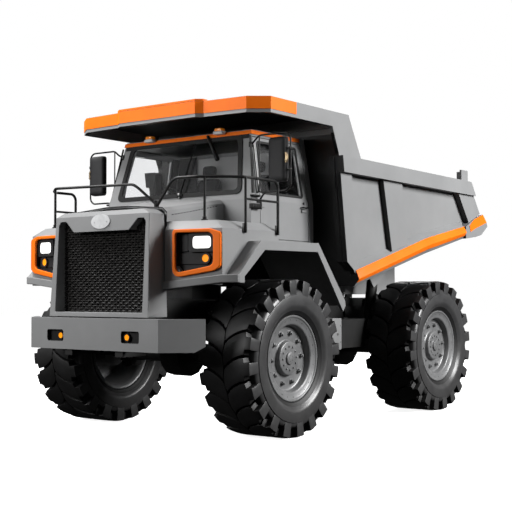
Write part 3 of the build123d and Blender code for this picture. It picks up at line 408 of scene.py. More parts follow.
def add_tube(bm, points, r, sides=10):
    """Closed tube through points, mitred at each corner."""
    rings = []
    side_dir = None
    for n, p in enumerate(points):
        before = (p - points[n - 1]).normalized() if n else None
        after = (points[n + 1] - p).normalized() if n + 1 < len(points) else None
        along = ((before or after) + (after or before)).normalized()
        if side_dir is None:
            side_dir = along.orthogonal().normalized()
        side_dir = (side_dir - along * side_dir.dot(along)).normalized()
        other = along.cross(side_dir)
        bend = 1.0
        if before and after:
            bend = 1 / max(0.5, math.cos(before.angle(after) / 2))
        rings.append([bm.verts.new(p + (side_dir * math.cos(t) + other * math.sin(t)) * r * bend)
                      for t in angles(sides)])
    skin(bm, rings)
    cap(bm, rings)


# ---- tyres and rims
LUGS = 20
PITCH = 2 * math.pi / LUGS
CROWN_R = 1.09
CARCASS = [
    # x from the centre plane, radius: one side from bead to crown
    (0.300, 0.5595), (0.338, 0.5600), (0.352, 0.5965), (0.366, 0.6020), (0.372, 0.613), (0.380, 0.630),
    (0.398, 0.658), (0.417, 0.686), (0.431, 0.708), (0.4385, 0.728), (0.4395, 0.745), (0.4395, 0.868),
    (0.4375, 0.8735), (0.428, 0.8755), (0.424, 0.892), (0.417, 0.915), (0.398, 0.938), (0.350, 0.962),
    (0.22, 0.985), (0.08, 0.995), (0.0, 0.997),
]
LUG_ROWS = [
    # x from the centre plane, leading edge, trailing edge (both along the tread), edge and root radius
    (0.004, -0.180, 0.122, 1.0925, 0.975),
    (0.075, -0.122, 0.180, 1.0925, 0.970),
    (0.160, -0.070, 0.234, 1.0925, 0.965),
    (0.250, -0.034, 0.270, 1.0920, 0.955),
    (0.335, -0.014, 0.289, 1.0910, 0.930),
    (0.347, 0.054, 0.222, 1.0900, 0.925),
    (0.428, 0.054, 0.222, 1.0740, 0.868),
]
POINT = 0.030
POINT_MIDDLE = 0.55
ROOT_FLARE = 0.006
LUG_EDGE = 0.007
HARD_ANGLE = 28


def lug_corner(bm, side, turn, x, arc, r):
    """One corner of a lug, wrapped round the axle."""
    angle = turn + arc / CROWN_R
    return bm.verts.new((side * x, r * math.sin(angle), r * math.cos(angle)))


def lug_x(row, share):
    """Distance from the centre plane; the centre end of a lug comes to a blunt point."""
    if row > 0:
        return LUG_ROWS[row][0]
    return LUG_ROWS[0][0] + POINT * (abs(2 * share - 1) - POINT_MIDDLE)


def lug_row(bm, side, turn, row, flare, r):
    """Four vertices across a row of a lug; flare widens it at each edge."""
    lead, trail = LUG_ROWS[row][1:3]
    arcs = [lead - flare + (trail - lead + 2 * flare) * k / 3 for k in range(4)]
    return [lug_corner(bm, side, turn, lug_x(row, k / 3), arc, r) for k, arc in enumerate(arcs)]


def add_lug(bm, side, turn):
    """Closed chevron lug: four points across each row, at its crown and at its root."""
    top = []
    root = []
    for row in range(len(LUG_ROWS)):
        edge_r, root_r = LUG_ROWS[row][3:]
        top.append(lug_row(bm, side, turn, row, 0.0, edge_r))
        root.append(lug_row(bm, side, turn, row, ROOT_FLARE, root_r))
    last = len(LUG_ROWS) - 1
    for row in range(last):
        for k in range(3):
            bm.faces.new((top[row][k], top[row][k + 1], top[row + 1][k + 1], top[row + 1][k]))
            bm.faces.new((root[row][k], root[row + 1][k], root[row + 1][k + 1], root[row][k + 1]))
        for k in (0, 3):
            bm.faces.new((top[row][k], top[row + 1][k], root[row + 1][k], root[row][k]))
    for row in (0, last):
        for k in range(3):
            bm.faces.new((top[row][k], root[row][k], root[row][k + 1], top[row][k + 1]))


def tread(bm):
    """Two rows of chevron lugs, the right row half a pitch behind the left."""
    for side in (-1, 1):
        for k in range(LUGS):
            add_lug(bm, side, PITCH * (k + (0.5 if side > 0 else 0)))
    recalc(bm)
    hard = [e for e in bm.edges
            if len(e.link_faces) == 2 and e.calc_face_angle() > math.radians(HARD_ANGLE)]
    bmesh.ops.bevel(bm, geom=hard, offset=LUG_EDGE, segments=2, affect="EDGES", profile=0.6,
                    clamp_overlap=True)


def tyre_build(bm):
    """Whole tyre about its own centre: beads, dished wall, flat outer ring, shoulder, crown and lugs."""
    rows = [(-x, r) for x, r in CARCASS] + [(x, r) for x, r in reversed(CARCASS[:-1])]
    add_lathe(bm, rows + [rows[0]], 128)
    lugs = mesh_from(tread, "tread_temp")
    bm.from_mesh(lugs)
    bpy.data.meshes.remove(lugs)


DISC_X = 0.238
RIM_PROFILE = [
    # x, radius: round the rim's section, from the hub's face outward, then back along the barrel
    (0.330, 0.0), (0.330, 0.078), (0.327, 0.084), (0.309, 0.090), (0.304, 0.096), (0.304, 0.216),
    (0.301, 0.226), (0.296, 0.232), (0.288, 0.235), (DISC_X + 0.020, 0.238), (DISC_X + 0.008, 0.243),
    (DISC_X, 0.256), (DISC_X, 0.424), (DISC_X + 0.003, 0.438), (DISC_X + 0.012, 0.449),
    (DISC_X + 0.024, 0.453), (0.316, 0.459), (0.328, 0.466), (0.335, 0.478), (0.338, 0.492), (0.353, 0.552),
    (0.358, 0.560), (0.366, 0.566), (0.3695, 0.574), (0.3695, 0.588), (0.366, 0.592), (0.350, 0.592),
    (0.344, 0.588), (0.341, 0.572), (0.339, 0.5585), (-0.339, 0.5585), (-0.341, 0.572), (-0.350, 0.592),
    (-0.366, 0.592), (-0.3695, 0.584), (-0.366, 0.566), (-0.340, 0.530), (-0.300, 0.512),
    (DISC_X - 0.055, 0.500), (DISC_X - 0.045, 0.480), (DISC_X - 0.045, 0.262), (DISC_X - 0.055, 0.240),
    (-0.230, 0.236), (-0.240, 0.226), (-0.240, 0.092), (0.255, 0.0915), (0.255, 0.0),
]
LEAST_R = 0.0005
BOLT_RINGS = [
    # count, ring radius, x, height, bolt radius, sides, shift in steps
    (10, 0.352, DISC_X - 0.002, 0.010, 0.042, 24, 0.0), (10, 0.352, DISC_X + 0.006, 0.034, 0.030, 6, 0.0),
    (10, 0.352, DISC_X + 0.038, 0.016, 0.017, 12, 0.0), (12, 0.162, 0.302, 0.016, 0.015, 6, 0.0),
    (5, 0.045, 0.328, 0.006, 0.008, 6, 0.5),
]


def bolts_build(bm):
    """Wheel studs with nuts on the disc, and bolts on the hub's face."""
    for count, ring_r, x, tall, r, sides, shift in BOLT_RINGS:
        for y, z in circle(0, 0, ring_r, count, shift):
            add_rod(bm, (x, y, z), (x + tall, y, z), r, sides, min(r, tall) * 0.2)


def rivets_build(bm):
    """Rivets on the sloped lip of the rim."""
    for c, s in circle(0, 0, 1, 24):
        add_rod(bm, (0.338, 0.532 * c, 0.532 * s), (0.352, 0.530 * c, 0.530 * s), 0.0075, 10, 0.002)


def rim_build(bm):
    """One turned rim with its disc, hub and both flanges, closed at the axle."""
    add_lathe(bm, [(x, max(r, LEAST_R)) for x, r in RIM_PROFILE], 96)
    bmesh.ops.holes_fill(bm, edges=[e for e in bm.edges if len(e.link_faces) == 1], sides=0)


WALL_X = 0.392
WALL_R = 1.088
WALL_FACING = 0.35


def is_wall(polygon):
    """True on a tyre's dished wall, outside the lugs."""
    middle = polygon.center
    r = math.hypot(middle.y, middle.z)
    return abs(middle.x) > WALL_X and r < WALL_R and abs(polygon.normal.x) > WALL_FACING


WHEELS = [
    # suffix, side, x, y, body, turn of the wheel about its axle in degrees
    ("front_left", 1, FRONT_X, 0.0, "front_left_wheel", 3),
    ("front_right", -1, FRONT_X, 0.0, "front_right_wheel", 7),
    ("rear_left", 1, REAR_X, WHEEL_BASE, "rear_left_wheel", 5),
    ("rear_right", -1, REAR_X, WHEEL_BASE, "rear_right_wheel", 0),
]
WHEEL_PARTS = [
    # kind, build, finishes, slot, angle above which an edge stays sharp
    ("tyre", tyre_build, ("tread_rubber", "tyre"), "tyre", 40),
    ("rim", rim_build, ("rim_paint",), "rim_paint", 30),
    ("studs", bolts_build, ("rim_paint",), "rim_paint", 34),
    ("rivets", rivets_build, ("bolt_steel",), "rim_paint", 34),
]
wheel_meshes = {}
for kind, build, finishes, slot, sharp in WHEEL_PARTS:
    mesh = mesh_from(build, kind + "_visual")
    for finish in finishes:
        mesh.materials.append(FINISH[finish])
    smooth_up_to(mesh, sharp)
    wheel_meshes[kind] = mesh
for polygon in wheel_meshes["tyre"].polygons:
    polygon.material_index = int(is_wall(polygon))
for suffix, side, x, y, body, spin in WHEELS:
    turn = Matrix.Rotation(math.radians(spin), 4, "X")
    if side < 0:
        turn = turn @ Matrix.Rotation(math.pi, 4, "Z")
    for kind, build, finishes, slot, sharp in WHEEL_PARTS:
        data = wheel_meshes[kind].copy()
        data.transform(Matrix.Translation(flip(side, x, y, AXLE_Z)) @ turn)
        piece = place_mesh(kind + "_" + suffix + "_visual", data, body)
        if kind in ("tyre", "rim"):
            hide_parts(kind + "_" + suffix)

# ---- woven grille
MESH_Y = -1.585
COLUMNS = 30
ROWS = 36
OPENING_HALF = 0.828
OPENING_LOW = 1.732
OPENING_TOP = 2.836
EAR_TOP = 2.987
EAR_IN = 0.53
EAR_OUT = 0.69
WIRE_R = 0.0095
CRIMP = 0.0075
TUCK = 0.01


def opening_top(x):
    """Height of the opening's upper edge at x."""
    share = (abs(x) - EAR_IN) / (EAR_OUT - EAR_IN)
    return OPENING_TOP + (EAR_TOP - OPENING_TOP) * min(1.0, max(0.0, share))


def row_spans(z):
    """Ends of the wires in a row at z: one wire, or one in each ear."""
    if z <= OPENING_TOP:
        return [(-OPENING_HALF, OPENING_HALF)]
    reach = EAR_IN + (z - OPENING_TOP) / (EAR_TOP - OPENING_TOP) * (EAR_OUT - EAR_IN)
    return [(-OPENING_HALF, -reach), (reach, OPENING_HALF)]


def crossing(x, z, n, way):
    """Place of a wire at its crossing n, to the front and to the back by turns."""
    return at(x, MESH_Y + way * CRIMP * (1 if n % 2 else -1), z)


def weave_build(bm):
    """Crimped wires, each column and row passing over and under its neighbours."""
    step_x = 2 * OPENING_HALF / COLUMNS
    step_z = (EAR_TOP - OPENING_LOW) / ROWS
    for c in range(COLUMNS):
        x = -OPENING_HALF + (c + 0.5) * step_x
        top = opening_top(x) + TUCK
        count = int((top - OPENING_LOW) / step_z) + 1
        heights = [min(top, OPENING_LOW + r * step_z) for r in range(count + 1)]
        add_tube(bm, [crossing(x, z, r + c, 1) for r, z in enumerate(heights)], WIRE_R, 6)
    for r in range(ROWS):
        z = OPENING_LOW + (r + 0.5) * step_z
        for x0, x1 in row_spans(z):
            count = max(1, round((x1 - x0) / step_x))
            stations = [x0 + (x1 - x0) * c / count for c in range(count + 1)]
            add_tube(bm, [crossing(x, z, r + c, -1) for c, x in enumerate(stations)], WIRE_R, 6)


weave = add_piece("woven_grille", weave_build, (), "mesh_black")
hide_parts("grille")


# ---- plates, rings and rounded tubes
OUTLINE_SHARE = 0.45
PATH_SHARE = 0.48


def corner(before, here, after, r, share, steps):
    """Curve of about radius r in place of a corner; it takes at most a share of either leg."""
    back = before - here
    ahead = after - here
    reach = min(r, back.length * share, ahead.length * share)
    start = here + back.normalized() * reach
    end = here + ahead.normalized() * reach
    shares = [k / steps for k in range(steps + 1)]
    return [start * (1 - t) ** 2 + here * (2 * t * (1 - t)) + end * t ** 2 for t in shares]


def rounded_outline(corners, r, steps=5):
    """Flat outline with each corner rounded."""
    corners = [Vector(c) for c in corners]
    after = corners[1:] + corners[:1]
    out = []
    for n, here in enumerate(corners):
        out += corner(corners[n - 1], here, after[n], r, OUTLINE_SHARE, steps)
    return out


def rounded_path(points, r, steps=6):
    """Open path with its inner corners rounded."""
    out = [points[0]]
    for before, here, after in zip(points, points[1:], points[2:]):
        out += corner(before, here, after, r, PATH_SHARE, steps)
    return out + [points[-1]]


def add_plate(bm, outline, thick):
    """Closed plate: an outline and its copy moved by thick."""
    rings = [[bm.verts.new(p + Vector(shift)) for p in outline] for shift in ((0, 0, 0), thick)]
    skin(bm, rings)
    cap(bm, rings)


def add_ring(bm, outer, inner, thick):
    """Closed frame between two outlines of equal length."""
    thick = Vector(thick)
    rings = [[bm.verts.new(p + shift) for p in outline]
             for outline, shift in ((outer, thick * 0), (inner, thick * 0), (inner, thick), (outer, thick))]
    skin(bm, rings + rings[:1])


LAMP_INNER = (0.920, -1.460)
LAMP_OUTER = (1.820, -1.325)
BELT_Z = 3.32
SCREEN_FOOT_Y = -0.165
SCREEN_SLOPE = 0.2296
CAB_HALF = 1.400
SIDE_SLOPE = 0.1684


def step_out(out, slope):
    """Step out from a sloped face: its share straight out, and its share along the slope."""
    length = math.hypot(1.0, slope)
    return out / length, out * slope / length


def on_lamp(side, x, z, out=0.0):
    """Place on the swept lamp face of a pod; out moves it along the face's normal."""
    slope = (LAMP_OUTER[1] - LAMP_INNER[1]) / (LAMP_OUTER[0] - LAMP_INNER[0])
    ahead, aside = step_out(out, slope)
    return at(side * (x + aside), LAMP_INNER[1] + (x - LAMP_INNER[0]) * slope - ahead, z)


def on_screen(x, z, out=0.0):
    """Place on the slanted plane of the wind screen."""
    ahead, up = step_out(out, SCREEN_SLOPE)
    return at(x, SCREEN_FOOT_Y + SCREEN_SLOPE * (z - BELT_Z) - ahead, z + up)


def on_side(side, y, z, out=0.0):
    """Place on the cab's side above the belt."""
    outward, up = step_out(out, SIDE_SLOPE)
    return at(side * (CAB_HALF - SIDE_SLOPE * max(0.0, z - BELT_Z) + outward), y, z + up)


def lamp_step(side, low, high):
    """Step between two depths along a lamp face's normal."""
    return on_lamp(side, 1.2, 2.5, high) - on_lamp(side, 1.2, 2.5, low)


def screen_step(out):
    """Step out from the wind screen."""
    return on_screen(0, 4, out) - on_screen(0, 4)


def side_step(side, out):
    """Step out from a cab side."""
    return on_side(side, 0, 4, out) - on_side(side, 0, 4)


# ---- lamp pods
BEZEL_OUTER = [
    (1.080, 2.800), (1.104, 2.832), (1.650, 2.832), (1.814, 2.782), (1.814, 2.340), (1.725, 2.282),
    (1.200, 2.204), (1.130, 2.212), (1.080, 2.272),
]
BEZEL_INNER = [
    (1.128, 2.764), (1.150, 2.786), (1.640, 2.786), (1.700, 2.742), (1.700, 2.392), (1.664, 2.347),
    (1.196, 2.268), (1.150, 2.276), (1.128, 2.322),
]
BEZEL_OUT = 0.040
RECESS = -0.078
BEZEL_ROUND = 0.035
AMBER = (1.550, 2.447)
AMBER_DEEP = -0.050
LAMP_PANELS = [
    # x0, x1, z0, z1, depth of the panel's face
    (1.140, 1.694, 2.372, 2.516, -0.048), (1.140, 1.270, 2.540, 2.770, -0.052),
    (1.190, 1.660, 2.290, 2.362, -0.062),
]


def lamp_outline(side, corners, out, r):
    """Rounded outline on a lamp face at a depth."""
    return rounded_outline([on_lamp(side, x, z, out) for x, z in corners], r, 3)


def amber_ring(side, r):
    """Ring of places round the amber lamp."""
    return [on_lamp(side, x, z, AMBER_DEEP) for x, z in circle(*AMBER, r, 32)]


def bezel_build(bm, side):
    """Thick bezel round the lamps, swept back with the pod."""
    outer, inner = [lamp_outline(side, corners, 0.0, BEZEL_ROUND) for corners in (BEZEL_OUTER, BEZEL_INNER)]
    add_ring(bm, outer, inner, lamp_step(side, 0.0, BEZEL_OUT))


def housing_build(bm, side):
    """Black lamp housing: back plate, side walls, lamp frame, three panels and the amber lamp's ring."""
    wall = lamp_outline(side, BEZEL_INNER, RECESS, BEZEL_ROUND)
    add_plate(bm, wall, lamp_step(side, RECESS, RECESS + 0.004))
    middle = sum(wall, Vector()) / len(wall)
    add_ring(bm, wall, [middle + (p - middle) * 0.985 for p in wall], lamp_step(side, RECESS, 0.002))
    add_ring(bm, lamp_outline(side, oblong(1.300, 1.688, 2.530, 2.775), RECESS, 0.03),
             lamp_outline(side, oblong(1.364, 1.642, 2.578, 2.736), RECESS, 0.05),
             lamp_step(side, RECESS, -0.012))
    for x0, x1, z0, z1, proud in LAMP_PANELS:
        panel = lamp_outline(side, oblong(x0, x1, z0, z1), RECESS, 0.02)
        add_plate(bm, panel, lamp_step(side, RECESS, proud))
    add_ring(bm, amber_ring(side, 0.076), amber_ring(side, 0.050), lamp_step(side, AMBER_DEEP, -0.025))


for side, hand in SIDES:
    bezel = add_piece("bezel_" + hand, bezel_build, (side,), "orange_paint", soft=(0.014, 4, 50))
    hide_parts("lamp_bezels")
    add_piece("lamp_housing_" + hand, housing_build, (side,), "black_paint", "dash_plastic", soft=(0.004, 2))

FENDER_LIP = [
    # x, front y, low z, high z of the rolled lip under a pod
    (0.932, -1.500, 2.034, 2.140), (1.820, -1.362, 2.124, 2.232), (2.028, -1.262, 2.128, 2.238),
]


def lip_bar_build(bm, side):
    """Rolled lip that stands proud under a lamp pod."""
    rings = [[bm.verts.new(flip(side, x, y, z)) for y, z in oblong(front, front + 0.060, low, high)]
             for x, front, low, high in FENDER_LIP]
    skin(bm, rings)
    cap(bm, rings)


for side, hand in SIDES:
    add_piece("fender_lip_" + hand, lip_bar_build, (side,), "grey_paint", soft=(0.014, 4))

# ---- bumper slots, bolts and tank panels
SLOT = oblong(0.550, 0.875, 1.333, 1.493)
SLOT_MIDDLE = (0.7125, 1.413)
SLOT_Y = -1.871
SLOT_LAMP = (0.632, 1.410)
SLOT_LAMP_Y = -1.853
PANEL_BOLTS = [
    # x of the foot, y, heights, length, radius, rounding
    (1.185, 2.39, (1.327,), 0.016, 0.022, 0.004), (1.185, 2.29, (1.20, 1.46), 0.012, 0.012, 0.002),
    (1.185, 2.47, (1.20, 1.46), 0.012, 0.012, 0.002),
    (0.935, -1.43, (2.55, 2.80, 3.05), 0.013, 0.011, 0.002),
]


def slot_lamp_ring(side, r):
    """Ring of places round the lamp in a slot."""
    return [at(x, SLOT_LAMP_Y, z) for x, z in circle(side * SLOT_LAMP[0], SLOT_LAMP[1], r, 28)]


def slot_build(bm):
    """Black liners and lamp rings inside the bumper's two slots."""
    for side in (-1, 1):
        outer = rounded_outline([flip(side, x, SLOT_Y, z) for x, z in SLOT], 0.030)
        middle = flip(side, SLOT_MIDDLE[0], SLOT_Y, SLOT_MIDDLE[1])
        inner = [middle + Vector(((p.x - middle.x) * 0.985, 0, (p.z - middle.z) * 0.965)) for p in outer]
        add_ring(bm, outer, inner, (0, 0.056, 0))
        add_plate(bm, [p + Vector((0, 0.052, 0)) for p in outer], (0, 0.004, 0))
        add_ring(bm, slot_lamp_ring(side, 0.056), slot_lamp_ring(side, 0.040), (0, 0.034, 0))


def panel_bolt_build(bm):
    """Bolt heads on the tank panels and on the radiator shell's sides."""
    for side in (-1, 1):
        for x, y, heights, tall, r, edge in PANEL_BOLTS:
            for z in heights:
                add_rod(bm, flip(side, x, y, z), flip(side, x + tall, y, z), r, 6, edge)


def tank_panel_build(bm):
    """Grey front panels that wrap the side tanks."""
    for side in (-1, 1):
        add_box(bm, flip(side, 0.885, 2.236, 1.073), flip(side, 1.1935, 2.512, 1.582), 0.012, 3)


add_piece("bumper_slot_liners", slot_build, (), *BLACK_TRIM, soft=(0.002, 1))
add_piece("panel_bolts", panel_bolt_build, (), "chassis_paint", "bolt_steel")
add_piece("tank_panels", tank_panel_build, (), "grey_paint")

# ---- handrails and mirrors
RAIL_R = 0.020
RAIL_Z = 3.530
OUTER_X = 1.8403
LEFT_RAIL = [
    (0.690, -1.340, 3.160), (0.960, -1.340, 3.490), (1.040, -1.335, RAIL_Z), (1.360, -1.290, RAIL_Z),
    (1.7403, -0.980, RAIL_Z), (OUTER_X, -0.860, RAIL_Z), (OUTER_X, -0.200, RAIL_Z), (OUTER_X, -0.130, 3.460),
    (OUTER_X, -0.130, 2.790),
]
RIGHT_RAIL = [
    (0.330, -0.960, 3.240), (0.060, -1.040, 3.480), (-0.020, -1.060, RAIL_Z), (-1.360, -1.290, RAIL_Z),
    (-1.7403, -0.980, RAIL_Z), (-OUTER_X, -0.860, RAIL_Z), (-OUTER_X, -0.500, RAIL_Z),
    (-OUTER_X, -0.440, 3.470), (-OUTER_X, -0.440, 2.790),
]
POSTS = [
    # x, y, height of the foot
    (1.440, -1.225, 2.944), (OUTER_X, -0.860, 2.790), (-1.440, -1.225, 2.944), (-OUTER_X, -0.860, 2.790),
]
MID_RAILS = [
    # x, front end, rear end
    (OUTER_X, -0.860, -0.130), (-OUTER_X, -0.860, -0.440),
]
MID_RAIL_Z = 3.240


def add_upright(bm, foot, low, high, *shape):
    """Round bar over a place, between two heights above it."""
    add_rod(bm, at(*foot) + Vector((0, 0, low)), at(*foot) + Vector((0, 0, high)), *shape)


def handrail_build(bm):
    """Bent rails, posts, middle rails and their foot plates."""
    for rail in (LEFT_RAIL, RIGHT_RAIL):
        add_tube(bm, rounded_path([at(*p) for p in rail], 0.09), RAIL_R, 14)
    for x, y, z in POSTS:
        add_tube(bm, [at(x, y, RAIL_Z), at(x, y, z)], 0.018, 14)
        if abs(x) < OUTER_X:
            add_upright(bm, (x, y, z), 0.006, 0.022, 0.045, 20, 0.004)
            add_upright(bm, (x, y, z), 0.020, 0.060, 0.028, 16, 0.006)
    for x, *ends in MID_RAILS:
        add_tube(bm, [at(x, y, MID_RAIL_Z) for y in ends], 0.016, 12)
        side = math.copysign(1, x)
        for y in ends:
            add_box(bm, at(x - side * 0.020, y - 0.045, 2.790), at(x - side * 0.006, y + 0.045, 2.920), 0.005)
    for rail in (LEFT_RAIL, RIGHT_RAIL):
        add_upright(bm, rail[0], -0.004, 0.050, 0.034, 18, 0.008)


handrail = add_piece("handrail_tubes", handrail_build, (), "black_paint")
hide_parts("handrails")
MIRROR_LOOP = [
    (1.262, 0.032, 4.110), (1.340, 0.0, 4.150), (1.420, 0.0, 4.222), (1.900, 0.0, 4.222),
    (1.965, 0.0, 4.160), (1.965, 0.0, 3.475), (1.900, 0.0, 3.412), (1.520, 0.0, 3.412),
    (1.430, 0.0, 3.300), (1.395, 0.0, 3.290),
]
MIRROR_STAY = [(1.425, 0.0, 4.222), (1.425, 0.0, 3.412), (1.530, 0.0, 3.412)]
MIRROR_X = 1.770
MIRROR_Z = 3.852
HEAD_ROWS = [
    # y back from the glass, share of the outline's size
    (0.014, 0.965), (0.014, 1.0), (0.000, 1.0), (-0.034, 0.985), (-0.058, 0.93), (-0.072, 0.80),
    (-0.076, 0.5),
]
CLAMP = [(1.914, 3.790), (1.932, 3.800), (1.944, 3.845), (1.944, 3.895), (1.932, 3.935), (1.914, 3.945)]


def mirror_frame_build(bm, side):
    """Bent mirror loop with its inner stay, pads on the pillar and clamps."""
    add_tube(bm, rounded_path([flip(side, *p) for p in MIRROR_LOOP], 0.07), 0.013, 12)
    add_tube(bm, rounded_path([flip(side, *p) for p in MIRROR_STAY], 0.03), 0.010, 10)
    add_box(bm, flip(side, 1.235, -0.005, 4.07), flip(side, 1.283, 0.065, 4.15), 0.008)
    add_box(bm, flip(side, 1.385, -0.035, 3.265), flip(side, 1.425, 0.035, 3.315), 0.008)
    for z in (3.70, 4.00):
        add_rod(bm, flip(side, 1.905, 0.0, z), flip(side, 1.985, 0.0, z), 0.011, 12, 0.002)
        add_box(bm, flip(side, 1.950, -0.018, z - 0.022), flip(side, 1.980, 0.018, z + 0.022), 0.005)


def mirror_head_build(bm, side):
    """Mirror housing: rounded shell whose back is crowned, with a lip round the glass."""
    outline = rounded_outline(oblong(-0.150, 0.150, -0.315, 0.315), 0.055, 6)
    rings = [[bm.verts.new(at(side * (MIRROR_X + p.x * share), y, MIRROR_Z + p.y * (1 - (1 - share) * 0.5)))
              for p in outline] for y, share in HEAD_ROWS]
    skin(bm, rings)
    cap(bm, rings)


def mirror_glass_build(bm, side):
    """Flat mirror glass inside the lip."""
    outline = rounded_outline(oblong(-0.132, 0.132, -0.295, 0.295), 0.045, 6)
    add_plate(bm, [at(side * (MIRROR_X + p.x), 0.013, MIRROR_Z + p.y) for p in outline], (0, 0.005, 0))


def mirror_clamp_build(bm, side):
    """Small clamp that holds the housing, with its two screws."""
    add_plate(bm, rounded_outline([flip(side, x, -0.060, z) for x, z in CLAMP], 0.008, 2), (0, 0.040, 0))
    for z in (3.825, 3.905):
        add_rod(bm, flip(side, 1.926, -0.058, z), flip(side, 1.926, -0.074, z), 0.008, 12, 0.002)


for side, hand in SIDES:
    loop = add_piece("mirror_loop_" + hand, mirror_frame_build, (side,), "black_paint")
    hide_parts("mirrors")
    head = add_piece("mirror_head_" + hand, mirror_head_build, (side,), "black_paint", "dash_plastic", 60)
    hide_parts("mirrors")
    add_piece("mirror_glass_" + hand, mirror_glass_build, (side,), "chrome_rod")
    add_piece("mirror_clamp_" + hand, mirror_clamp_build, (side,), "chrome_rod", "mirror_bracket",
              soft=(0.003, 2))

# ---- wind screen, doors and cab outside
SCREEN_OUT = [(-1.225, 3.395), (1.225, 3.395), (1.100, 4.262), (-1.100, 4.262)]
SCREEN_IN = [(-1.143, 3.458), (1.143, 3.458), (1.020, 4.205), (-1.020, 4.205)]
DOOR_OUT = [(0.088, 3.398), (1.142, 3.398), (1.130, 4.180), (0.140, 4.180)]
DOOR_IN = [(0.124, 3.436), (1.106, 3.436), (1.096, 4.144), (0.168, 4.144)]
HEADER = [(-1.212, 4.205), (1.212, 4.205), (1.208, 4.275), (-1.208, 4.275)]
HANDLE = [(1.4045, 1.060, 3.262), (1.455, 1.060, 3.262), (1.455, 1.190, 3.262), (1.4045, 1.190, 3.262)]
GUTTER = [(-0.125, 3.400), (-0.070, 3.400), (0.030, 4.240), (0.000, 4.240)]
PILLAR_FOOT = [(1.388, -0.190), (1.452, -0.165), (1.452, 0.005), (1.388, 0.035)]


def screen_trim_build(bm):
    """Rubber round the wind screen and the dark header strip above it."""
    outer = rounded_outline([on_screen(*p) for p in SCREEN_OUT], 0.11, 6)
    inner = rounded_outline([on_screen(*p) for p in SCREEN_IN], 0.085, 6)
    add_ring(bm, outer, inner, screen_step(0.014))
    add_plate(bm, [on_screen(*p) for p in HEADER], screen_step(0.008))


def door_trim_build(bm, side):
    """Rubber round a door's window."""
    outer = rounded_outline([on_side(side, *p) for p in DOOR_OUT], 0.06)
    inner = rounded_outline([on_side(side, *p) for p in DOOR_IN], 0.045)
    add_ring(bm, outer, inner, side_step(side, 0.009))


def door_handle_build(bm, side):
    """Grab handle and key barrel of a door."""
    add_tube(bm, rounded_path([flip(side, *p) for p in HANDLE], 0.022), 0.010, 10)
    add_rod(bm, flip(side, 1.4035, 1.125, 3.325), flip(side, 1.412, 1.125, 3.325), 0.020, 20, 0.003)


def pillar_trim_build(bm, side):
    """Front pillar's gutter, and the plate and ribbed block at its foot."""
    add_plate(bm, [on_side(side, *p) for p in GUTTER], side_step(side, 0.012))
    add_plate(bm, rounded_outline([flip(side, x, y, 3.348) for x, y in PILLAR_FOOT], 0.03), (0, 0, 0.024))
    add_box(bm, flip(side, 1.392, -0.205, 3.172), flip(side, 1.462, 0.020, 3.246), 0.012, 3)
    for k in range(5):
        y = -0.170 + 0.036 * k
        add_box(bm, flip(side, 1.455, y, 3.186), flip(side, 1.468, y + 0.014, 3.232), 0.003)


def grab_build(bm, side):
    """Bright grab tube up the front pillar, on two feet."""
    low = on_side(side, 0.005, 3.415, 0.026)
    high = on_side(side, 0.036, 4.135, 0.026)
    inward = side_step(side, -0.03)
    add_tube(bm, rounded_path([low + inward, low, high, high + inward], 0.018), 0.0135, 14)


add_piece("screen_rubber", screen_trim_build, (), *BLACK_TRIM, soft=(0.004, 2, 50))
for side, hand in SIDES:
    door = hand + "_door"
    add_piece("door_rubber_" + hand, door_trim_build, (side,), *BLACK_TRIM, soft=(0.003, 2, 50), body=door)
    add_piece("door_handle_" + hand, door_handle_build, (side,), "black_paint", body=door)
    add_piece("cab_pillar_trim_" + hand, pillar_trim_build, (side,), *BLACK_TRIM, soft=(0.003, 2))
    add_piece("grab_tube_" + hand, grab_build, (side,), "chrome_rod", "bolt_steel")


def wiper_build(bm):
    """Two wipers: the short one hangs from the header, the tall one stands on the cowl."""
    top = on_screen(0.471, 4.262, 0.030)
    tip = on_screen(0.705, 3.915, 0.022)
    add_rod(bm, top + (top - tip) * 0.10, top, 0.020, 14, 0.006)
    add_rod(bm, top, top + (tip - top) * 0.62, 0.024, 12, 0.003, 0.030)
    add_rod(bm, top + (tip - top) * 0.60, tip, 0.031, 14, 0.012, 0.036)
    foot = on_screen(0.075, 3.425, 0.032)
    head = on_screen(0.232, 4.195, 0.020)
    add_rod(bm, foot, foot + (head - foot) * 0.52, 0.018, 12, 0.002, 0.013)
    add_rod(bm, foot + (head - foot) * 0.16 + Vector((0, -0.004, 0)), head, 0.016, 10, 0.002, 0.010)
    add_box(bm, on_screen(0.025, 3.412, 0.002), on_screen(0.125, 3.448, 0.040), 0.008)


def pivot_build(bm):
    """Polished wiper pivots and washer nozzles."""
    foot = on_screen(0.075, 3.425, 0.020)
    add_rod(bm, foot, foot + Vector((0.004, -0.040, 0.016)), 0.020, 18, 0.005)
    add_rod(bm, foot + Vector((0, -0.010, -0.02)), foot + Vector((0, -0.020, -0.075)), 0.012, 14, 0.003,
            0.022)


add_piece("wipers", wiper_build, (), "black_paint")
add_piece("wiper_pivots", pivot_build, (), "chrome_rod", "bolt_steel")
MARKER_X = 0.686


def marker_box(bm, side, half, y0, y1, z0, z1, *shape):
    """Rounded box astride a roof marker's middle."""
    middle = side * MARKER_X
    add_box(bm, at(middle - half, y0, z0), at(middle + half, y1, z1), *shape)


def marker_feet_build(bm):
    """Silver feet of the two roof marker lamps."""
    for side in (-1, 1):
        marker_box(bm, side, 0.088, -0.035, 0.075, 4.300, 4.348, 0.012, 3)
        marker_box(bm, side, 0.06, 0.060, 0.110, 4.305, 4.340, 0.008, 2)


